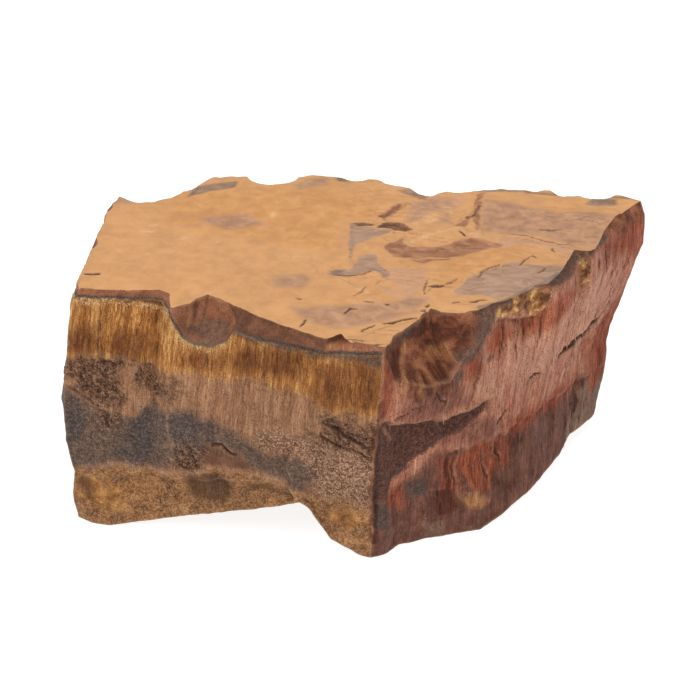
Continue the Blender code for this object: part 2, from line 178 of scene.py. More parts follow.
def wander(p: Array, q: Array, swings: Iterable[Pair], seed: float) -> tuple[Array, Array]:
    """Shifts places a little this way and that, so that an outline read there isn't straight.

    Args:
        p: First coordinate of the places.
        q: Second coordinate of the places.
        swings: How far each noise shifts the places, and its size.
        seed: Shifts the noise.

    Returns:
        The shifted coordinates.
    """
    shifted_p, shifted_q = p.copy(), q.copy()
    for swing, size in swings:
        places = stretched(p, q, size, size)
        shifted_p += swing * waves(places, seed + WANDER_SEEDS[0])
        shifted_q += swing * waves(places, seed + WANDER_SEEDS[1])
    return shifted_p, shifted_q


def stretched(p: Array, q: Array, across: float, down: float) -> Array:
    """Points for noise whose cells measure across by down."""
    return np.column_stack([p / across, q / down, np.zeros(len(p))])


def terraces(steps: Array, flat: float, riser: float) -> Array:
    """Turns a slope into steps, each flat at first and then rising within a share of its length."""
    return np.floor(steps) + smooth((steps - np.floor(steps) - flat) / riser)


def taper(way: Array, at_ends: float = 0.0) -> Array:
    """Goes from 1 at the middle of a line to a given value at its ends."""
    return at_ends + (1 - at_ends) * np.sqrt(np.clip(4 * way * (1 - way), 0, 1))


def room_inside(x: Array, y: Array, loop: Array) -> Array:
    """How far each point lies inside a closed outline; negative outside it."""
    within = np.zeros(len(x), bool)
    nearest = np.full(len(x), np.inf)
    for (ax, ay), (bx, by) in zip(loop, np.roll(loop, -1, axis=0)):
        crosses = (ay > y) != (by > y)
        rise = np.where(by == ay, 1, by - ay)
        within ^= crosses & (x < (bx - ax) * (y - ay) / rise + ax)
        run = np.array((bx - ax, by - ay))
        share = np.clip(((x - ax) * run[0] + (y - ay) * run[1]) / max(run @ run, TINY), 0, 1)
        nearest = np.minimum(nearest, np.hypot(x - ax - share * run[0], y - ay - share * run[1]))
    return np.where(within, nearest, -nearest)


def beside_line(p: Array, q: Array, line: Points) -> tuple[Array, Array, Array]:
    """Where each place lies beside a line of points.

    Args:
        p: First coordinate of the places.
        q: Second coordinate of the places.
        line: The line's points, in order.

    Returns:
        The distance to the line, a value that is positive on its left, and the share of the line's
        length at its nearest point.
    """
    line = np.array(line, float)
    distance = np.full(len(p), np.inf)
    left = np.zeros(len(p))
    way = np.zeros(len(p))
    lengths = np.linalg.norm(np.diff(line, axis=0), axis=1)
    travelled = np.concatenate([[0], np.cumsum(lengths)]) / lengths.sum()
    for i, (start, run) in enumerate(zip(line, np.diff(line, axis=0))):
        share = np.clip(((p - start[0]) * run[0] + (q - start[1]) * run[1]) / (run @ run), 0, 1)
        dp, dq = p - start[0] - share * run[0], q - start[1] - share * run[1]
        gap = np.hypot(dp, dq)
        closer = gap < distance
        distance = np.where(closer, gap, distance)
        left = np.where(closer, run[0] * dq - run[1] * dp, left)
        way = np.where(closer, travelled[i] + share * (travelled[i + 1] - travelled[i]), way)
    return distance, left, way


@dataclass(frozen=True)
class Mark:
    """Where a stain shows: a closed outline, or a line if it has a half width."""

    points: Points
    half_width: float = 0.0

    def depth(self, p: Array, q: Array) -> Array:
        """How deep each place lies inside the mark; negative outside it."""
        if self.half_width:
            return self.half_width - beside_line(p, q, self.points)[0]
        return room_inside(p, q, np.array(self.points, float))


def area(*points: Pair) -> Mark:
    """A mark with a closed outline."""
    return Mark(points)


def line(half_width: float, *points: Pair) -> Mark:
    """A mark along a line; with a half width below zero, only shreds of it show."""
    return Mark(points, half_width)


Marks = Mapping[Stain, Sequence[Mark]]
Relief = tuple[Array, dict[Stain, Array]]


@dataclass(frozen=True)
class Ledge:
    """A broken step: the surface drops on the left of the line and recovers over its reach."""

    line: Points
    drop: float
    reach: float
    width: float

    RECOVERY = 1.3
    DROP_AT_ENDS = 0.2

    def depth(self, p: Array, q: Array) -> Array:
        """How far each place is lowered."""
        distance, left, way = beside_line(p, q, self.line)
        fall = smooth(distance / self.width) * np.clip(1 - distance / self.reach, 0, 1) ** self.RECOVERY
        return self.drop * np.where(left > 0, fall, 0) * taper(way, self.DROP_AT_ENDS)


@dataclass(frozen=True)
class Flake:
    """A shell-shaped scar with a crisp rim."""

    middle: Pair
    radii: Pair
    deepest: float

    def depth(self, p: Array, q: Array) -> Array:
        """Depth of the scar at each place."""
        r2 = ((p - self.middle[0]) / self.radii[0]) ** 2 + ((q - self.middle[1]) / self.radii[1]) ** 2
        return self.deepest * np.clip(1 - r2, 0, 1)


@dataclass(frozen=True)
class Crack:
    """A narrow open crack, deepest in its middle."""

    line: Points
    deepest: float = 0.5
    half_width: float = 0.5
    stain: Stain = Stain.CRACK

    FLARE = 1.6
    WIDTH_AT_ENDS = 0.3

    def carve(self, p: Array, q: Array) -> tuple[Array, Array]:
        """How far each place is lowered, and how deep it lies inside the crack's dark line."""
        distance, _, way = beside_line(p, q, self.line)
        lowered = self.deepest * taper(way) * smooth(1 - distance / self.half_width / self.FLARE)
        return lowered, self.half_width * taper(way, self.WIDTH_AT_ENDS) - distance


def hairline(deepest: float, half_width: float, *points: Pair) -> Crack:
    """A crack too fine to look open."""
    return Crack(points, deepest, half_width, Stain.HAIRLINE)


def carve(p: Array, q: Array, cuts: Iterable[Union[Ledge, Flake]], cracks: Iterable[Crack],
          marks: Marks) -> Relief:
    """Cuts a surface, and finds how deep each place lies in each stain.

    Args:
        p: First coordinate of the places.
        q: Second coordinate of the places.
        cuts: The ledges and flakes.
        cracks: The cracks.
        marks: Where the stains show.

    Returns:
        How far each place is raised, and its depth in each stain.
    """
    stains = {stain: np.full(len(p), FAR_OUTSIDE) for stain in Stain}
    for stain, places in marks.items():
        for mark in places:
            stains[stain] = np.maximum(stains[stain], mark.depth(p, q))
    rise = np.zeros(len(p))
    for cut in cuts:
        rise -= cut.depth(p, q)
    for crack in cracks:
        lowered, dark = crack.carve(p, q)
        rise -= lowered
        stains[crack.stain] = np.maximum(stains[crack.stain], dark)
    return rise, stains


@dataclass(frozen=True)
class SkinPlane:
    """The plane of the top: its height at the middle and its rise along X and Y."""

    height: float = 48.8
    rise_x: float = -0.024
    rise_y: float = 0.036

    def at(self, x: Array, y: Array) -> Array:
        """Height of the plane at each place."""
        return self.height + self.rise_x * x + self.rise_y * y


SKIN_PLANE = SkinPlane()


def spread(row: Array, shares: Array) -> Array:
    """Points on a row at shares of the straight way between its ends."""
    chord = row[-1, :2] - row[0, :2]
    travelled = (row[:, :2] - row[0, :2]) @ chord / (chord @ chord)
    travelled = np.maximum.accumulate(travelled)
    return np.stack([np.interp(shares, travelled, row[:, k]) for k in range(3)], axis=1)


def spread_down(post: Array, shares: Array) -> Array:
    """Points on a corner edge at shares of its length."""
    lengths = np.linalg.norm(np.diff(post, axis=0), axis=1)
    travelled = np.concatenate([[0], np.cumsum(lengths)]) / lengths.sum()
    return np.stack([np.interp(shares, travelled, post[:, k]) for k in range(3)], axis=1)


@dataclass(frozen=True)
class Wall:
    """One wall of the block: the rows of points that it is lofted between, and what marks it.

    The ledges, flakes, cracks and marks are in (way along the wall, height). The rim is the dark line
    along the skin's edge, the pale tips run along a golden wall as far as pale_reach, and a raised base
    is undercut as deep as lift_reach.
    """

    seed: float
    skin: Points
    base: Points
    start_post: Points
    end_post: Points
    lift_reach: float = 12.0
    shown: bool = False
    golden: bool = True
    rim_width: float = 0.5
    pale_reach: float = 200.0
    band_stain: Stain = Stain.CRUST
    crust: Optional[Points] = None
    ledges: Sequence[Ledge] = ()
    flakes: Sequence[Flake] = ()
    cracks: Sequence[Crack] = ()
    marks: Marks = field(default_factory=dict)

    CRUST_DROP = 1.6
    CRUST_OUT = 0.6
    SAG_SHARE = 0.16
    SAG_FROM_WIDTH = 2.5
    SAG_SLOPE = 0.6
    SWELL = ((0.75, 9.0, 30.0), (0.35, 2.8, 14.0))
    WANDER = ((0.7, 3.6), (0.3, 1.3))

    STEP_HEIGHT = 0.13
    STEP_COUNT = 3.0
    STEP_CELL = (3.2, 19.0)
    STEP_FLAT_AND_RISER = (0.35, 0.3)
    RIDGE_HEIGHT = 0.08
    RIDGE_CELL = (1.1, 6.0)
    CRUMB_HEIGHT = 0.26
    CRUMB_CELL = (1.3, 1.3)
    DUST_CELL = (0.7, 0.7)
    DUST_SHARE = 0.6
    LOWER_CALM = 0.6
    LOOSE = {
        Stain.GRIT: (1.0, 0.5), Stain.SPECKLE: (0.45, 0.5), Stain.BLUE: (0.2, 0.0), Stain.NUGGET_AND_GLINTS: (0.35, 0.5),
    }

    def skin_row(self) -> Array:
        """The skin's edge in space."""
        return np.array([(x, y, SKIN_PLANE.at(x, y)) for x, y in self.skin])

    def chord(self) -> Array:
        """The straight way between the wall's corners, seen from above."""
        return np.subtract(self.skin[-1], self.skin[0])

    def length(self) -> float:
        """Length of the straight way between the corners."""
        return float(np.hypot(*self.chord()))

    def out(self) -> Array:
        """The level direction that points out of the wall."""
        along = self.chord() / self.length()
        return np.array((along[1], -along[0]))

    def crust_row(self) -> Array:
        """The crust's lower edge: stated where scars cut it, and otherwise just below the skin."""
        if self.crust:
            return np.array(self.crust, float)
        row = self.skin_row()
        row[:, :2] += self.CRUST_OUT * self.out()
        row[:, 2] -= self.CRUST_DROP
        row[0] = self.start_post[0]
        row[-1] = self.end_post[0]
        return row

    def face(self, columns: int, rows: int) -> Array:
        """A Coons patch between the crust row, the base row and the two corner edges."""
        across = np.linspace(0, 1, columns + 1)
        down = np.linspace(0, 1, rows + 1)
        top = spread(self.crust_row(), across)[:, None]
        bottom = spread(np.array(self.base, float), across)[:, None]
        start = spread_down(np.array(self.start_post, float), down)[None]
        end = spread_down(np.array(self.end_post, float), down)[None]
        u = across[:, None, None]
        v = down[None, :, None]
        upper = (1 - u) * (1 - v) * top[0] + u * (1 - v) * top[-1]
        lower = (1 - u) * v * bottom[0] + u * v * bottom[-1]
        return (1 - v) * top + v * bottom + (1 - u) * start + u * end - upper - lower

    def band(self, columns: int, rows: int) -> tuple[Array, Array]:
        """The crust band, from the skin's edge to the top of the wall, without its last row.

        Args:
            columns: Cells along the wall.
            rows: Cells from the skin down to the wall.

        Returns:
            The points, and the band's width at each column.
        """
        across = np.linspace(0, 1, columns + 1)
        upper = spread(self.skin_row(), across)[:, None]
        lower = spread(self.crust_row(), across)[:, None]
        share = np.linspace(0, 1, rows + 1)[None, :-1, None]
        points = (1 - share) * upper + share * lower
        width = np.linalg.norm(lower - upper, axis=2, keepdims=True)
        sag = self.SAG_SHARE * np.maximum(width - self.SAG_FROM_WIDTH, 0) * 4 * share * (1 - share)
        points[..., :2] -= sag * self.out()
        points[..., 2:] -= self.SAG_SLOPE * sag
        return points, width[:, 0, 0]

    def relief(self, along: Array, z: Array) -> Relief:
        """Carves the wall.

        Args:
            along: Way along the wall of each place.
            z: Height of each place.

        Returns:
            How far each place stands out of the smooth wall, and how deep it lies in each stain.
        """
        p, q = wander(along, z, self.WANDER, self.seed)
        rise, stains = carve(p, q, (*self.ledges, *self.flakes), self.cracks, self.marks)
        for height, across, down in self.SWELL:
            rise += height * waves(stretched(along, z, across, down), self.seed + across)
        return rise + self.fine_relief(along, z, stains), stains

    def fine_relief(self, along: Array, z: Array, stains: Mapping[Stain, Array]) -> Array:
        """Splintery steps along the fibres, and crumbled stone where the loose stains show."""
        steps = self.STEP_COUNT * waves(stretched(along, z, *self.STEP_CELL), self.seed + 40)
        ridges = waves(stretched(along, z, *self.RIDGE_CELL), self.seed + 50)
        crumbs = waves(stretched(along, z, *self.CRUMB_CELL), self.seed + 60)
        crumbs += self.DUST_SHARE * waves(stretched(along, z, *self.DUST_CELL), self.seed + 70)
        calm = smooth(-stains[Stain.FACET]) * (1 - self.LOWER_CALM * smooth(stains[Stain.LOWER]))
        splinters = self.STEP_HEIGHT * terraces(steps, *self.STEP_FLAT_AND_RISER) + self.RIDGE_HEIGHT * ridges
        loose = sum(share * smooth(stains[stain] + beyond) for stain, (share, beyond) in self.LOOSE.items())
        return calm * splinters + self.CRUMB_HEIGHT * loose * crumbs


FRONT_LEFT_POST = (
    (-54.5, -20, 48.5), (-55.5, -20, 44), (-56.5, -20, 37.5), (-57.5, -20, 31), (-58, -20, 24.5),
    (-58, -20, 18), (-57, -20, 11), (-57.5, -20, 4.5), (-57, -19.5, 0),
)
FRONT_POST = (
    (3, -38.5, 46), (3, -38.5, 42), (2.5, -38, 36.5), (2, -37.5, 30), (1.5, -36.5, 21),
    (1, -35.5, 14), (1.5, -35, 7), (1, -34, 0),
)
RIGHT_POST = (
    (59, 26.5, 46), (59, 26, 39.5), (57.5, 25.5, 34.5), (56, 25, 30), (54.5, 24.5, 25.5),
    (53, 24, 21), (52.5, 23.5, 18.5), (52.5, 23, 13.5), (51.5, 21, 8.5), (50, 18, 2.5),
)
BACK_POST = ((1.8, 37, 48.5), (3, 38.5, 38), (4, 39, 24), (3, 38.5, 10), (2, 38, 0))
REAR_LEFT_POST = ((-53, 23.5, 49.2), (-55, 26, 38), (-55.5, 28, 22), (-54, 28, 8), (-51, 26, 0))

FRONT_LEFT = Wall(
    seed=10,
    shown=True,
    pale_reach=32.0,
    skin=(
        (-54.5, -18.5), (-49.5, -18.5), (-44, -18.5), (-38.5, -18), (-36.5, -19.5), (-36, -24.5),
        (-34, -23.5), (-32.5, -23), (-31.5, -21), (-29.5, -19), (-24.5, -23), (-18.5, -28),
        (-10.5, -33.5), (-7.5, -36), (-4.5, -33.5), (-3, -37), (0.5, -38), (3.5, -38),
    ),
    crust=(
        (-54.5, -20, 48.5), (-49, -20, 48.5), (-43.5, -20.5, 48.5), (-38, -21, 48.5),
        (-36.5, -24.5, 48.5), (-35.5, -26, 46), (-34, -26.5, 43.5), (-31.5, -27.5, 42.5),
        (-28.5, -28.5, 42.5), (-25.5, -29, 44), (-24, -30, 46.5), (-19, -31.5, 45),
        (-12.5, -33.5, 45), (-7.5, -35, 44.5), (-4.5, -36, 45), (3, -38.5, 46),
    ),
    base=(
        (-57, -19.5, 0), (-54, -21.5, 0), (-50.5, -22.5, 0), (-42.5, -23, 1.5), (-32, -25.5, 4.5),
        (-22, -28.5, 7.5), (-12.5, -31, 10.5), (-10.5, -32, 9.5), (-9, -32.5, 7), (-7, -33, 4),
        (-3, -34, 2), (-1, -34, 0.5), (1, -34, 0),
    ),
    start_post=FRONT_LEFT_POST,
    end_post=FRONT_POST,
    lift_reach=25.0,
    ledges=(
        Ledge(((25, 35.5), (14, 36), (0, 36.5)), 0.6, 9, 1.2),
        Ledge(((46.5, 10), (44.5, 17.5), (47, 24)), 1.3, 12, 1.4),
        Ledge(((44, 15.5), (27, 13), (12, 12), (0, 10.5)), 0.9, 9, 1.4),
        Ledge(((60, 33), (54, 33), (49, 30)), 0.8, 6, 1.0),
        Ledge(((49, 35), (44.5, 35.5), (38, 37), (33, 37)), 0.5, 5, 0.8),
    ),
    flakes=(Flake((52, 16), (10, 13), 0.8), Flake((34, 30), (9, 7), 0.5)),
    cracks=(
        hairline(0.25, 0.26, (5, 48), (5.5, 44.5), (5.5, 41.5), (5.7, 36.5)),
        Crack(((29.5, 21.3), (32, 21.5), (33, 20.5), (34.5, 19.5)), 0.5, 0.32),
        hairline(0.3, 0.26, (20.5, 12), (19.5, 9)),
        hairline(0.3, 0.26, (18, 7.5), (18, 5.5)),
        Crack(((50.5, 30), (54, 28.5), (57, 27.5), (60, 25.5)), 0.5, 0.5),
        hairline(0.4, 0.35, (51, 27), (54.5, 25), (58, 24.5), (60.5, 22.5)),
        hairline(0.3, 0.3, (0.5, 30), (3.5, 28), (5.5, 26)),
    ),
    marks={
        Stain.OLD_SCAR: (
            area((20.8, 46), (22.5, 44.8), (25, 45), (30.5, 46.2), (30.6, 44.2), (27.8, 42.9), (24.7, 42.9),
                 (22.3, 43.9)),
        ),
        Stain.SHADE: (
            area((29, 52), (29, 48.2), (31.5, 46.6), (38.8, 44.9), (49.5, 44.6), (50.5, 46), (50, 52)),
        ),
        Stain.DARK: (
            area((49.5, 51), (50.2, 46.4), (54.7, 46.9), (56, 51)), line(0.3, (8, 48.3), (17, 48.3)),
            line(0.3, (61, 35), (60.9, 20), (61, 5)),
        ),
        Stain.OCHRE: (area((50.3, 45.8), (54.5, 46.5), (54.5, 45.6), (50.9, 45)),),
        Stain.INK: (
            area((50.5, 44.9), (55, 45.4), (61.5, 46), (61.5, 43.4), (55.5, 43.5), (51.3, 43.8)),
            line(0.5, (32.9, 46), (38.8, 44.6), (43, 44.5), (48.4, 44.2), (51, 44.3)),
        ),
        # Pale lines, partly painted highlight along ridges.
        Stain.PALE_AND_HIGHLIGHT: (
            line(0.3, (3, 13), (9, 14.1), (15.7, 12.7), (22.4, 13.2), (29.5, 16.1), (35.4, 15.9),
                 (41.7, 14.7), (47.6, 11.5)),
            line(0.1, (20.3, 28), (20.9, 22), (21.2, 16.3)), line(-0.1, (7.3, 19.8), (13.2, 17.7)),
        ),
        Stain.GOLD: (
            area((-2, 52), (-2, 36), (4.5, 36.5), (10.5, 36.5), (14.5, 36), (18, 35.5), (24.5, 36.5),
                 (33, 36.5), (38, 37), (44.5, 35.5), (47, 36), (49.5, 34), (53, 32.5), (63, 33), (63, 52)),
        ),
        Stain.RUST: (
            area((49, 36), (49, 42), (54, 43.5), (61, 44), (61, 34), (54.5, 33), (50.5, 33.5)),
            area((-1, 37), (-1, 42), (5, 42.5), (6, 37)),
            area((7.5, 38), (8.5, 41.5), (14, 42), (17, 39), (12, 37)),
            area((22, 37.5), (24, 41), (31, 41), (30, 37.5)),
            area((32, 38.5), (33, 43), (40, 43.5), (47, 43.5), (46, 38.5), (38, 38.5)),
        ),
        Stain.GRIT: (
            area((-1, 35.5), (2, 36), (5.5, 36.5), (9.5, 36.5), (10.5, 33), (12, 28.5), (12, 27),
                 (10.5, 25.5), (8, 25.5), (5.5, 26.5), (3, 28), (1.5, 30.5), (-1, 32.5)),
            area((13, 35), (17, 33), (21.2, 32.6), (23, 31.3), (19.9, 29.5), (15.7, 29.8), (14, 31.5)),
            area((50.5, 32), (54.5, 30.5), (61, 31), (61, 22), (58, 24), (55.5, 25.5), (53, 24.5),
                 (50.5, 25.5), (49.5, 27), (53, 28.5), (50.5, 30)),
            area((24, 20.5), (28, 21), (28, 16), (25.5, 14.5), (22.5, 14), (22, 17)),
            area((8, 25), (11, 24.5), (11, 22), (8, 21.5)),
        ),
        Stain.BLUE: (
            area((-2, 29.5), (2, 29.5), (4.5, 27), (5.5, 25), (10.5, 24.5), (14.5, 24.5), (15.5, 26.5),
                 (17, 28), (20.5, 27.5), (25.5, 28), (32, 26), (37, 23.5), (40, 20.5), (47, 20.5),
                 (49.5, 17.5), (47.5, 13), (45.5, 13), (43, 14.5), (37, 17), (33, 21), (29.5, 20.5), (28, 19),
                 (27, 16.5), (20.5, 15), (18, 13.5), (12, 13.5), (8, 14.5), (3, 12.5), (-2, 12.5)),
        ),
        Stain.BLUE_CORE: (
            area((13.5, 24.5), (15, 27), (17, 27.5), (18, 23), (17.5, 17), (14, 15), (9, 17), (11.5, 20)),
            area((20, 21), (19.5, 26.5), (24, 26.8), (29, 25.5), (27, 22), (23, 20)),
            area((-2, 27), (2, 28), (4.5, 23), (2.5, 18), (-2, 16)),
            area((-2, 15), (4, 14.2), (8, 15.2), (8, 14), (3, 12.7), (-2, 12.7)),
        ),
        Stain.BROWN: (area((28, 21), (33, 21), (37, 17.5), (36, 16), (30, 16), (27, 17)),),
        Stain.LOWER: (
            area((-2, 12), (3, 12), (8, 14), (12, 13), (17, 12.5), (23, 14), (27, 15.5), (34.5, 17),
                 (38, 15.5), (43, 14), (47.5, 12), (52, 12.5), (57, 13), (59.5, 11.5), (62, 9.5), (62, -3),
                 (-2, -3)),
        ),
        Stain.OLIVE: (
            area((23, 14), (27.5, 15.2), (31.5, 14.6), (33.5, 12), (31, 8), (26.6, 8), (23.8, 9.4)),
            line(0.5, (35, 10.5), (36.5, 12.6), (40, 13), (44.6, 11.2)), line(0.9, (1.9, 9.4), (3.5, 8)),
        ),
        Stain.YELLOW: (
            area((0.5, 10), (4.5, 10.5), (9.5, 9), (10.5, 6.5), (9.5, 4), (4.5, 3.5), (2, 5.5)),
            area((51, 11), (57, 11), (58, 7), (54, 6)),
        ),
        Stain.SPECKLE: (
            area((38, 25.5), (44.5, 26.5), (50.5, 25), (58, 24.5), (62, 22), (62, 12.5), (50.5, 13), (48, 16),
                 (47, 20.5), (40.5, 21)),
        ),
    },
)

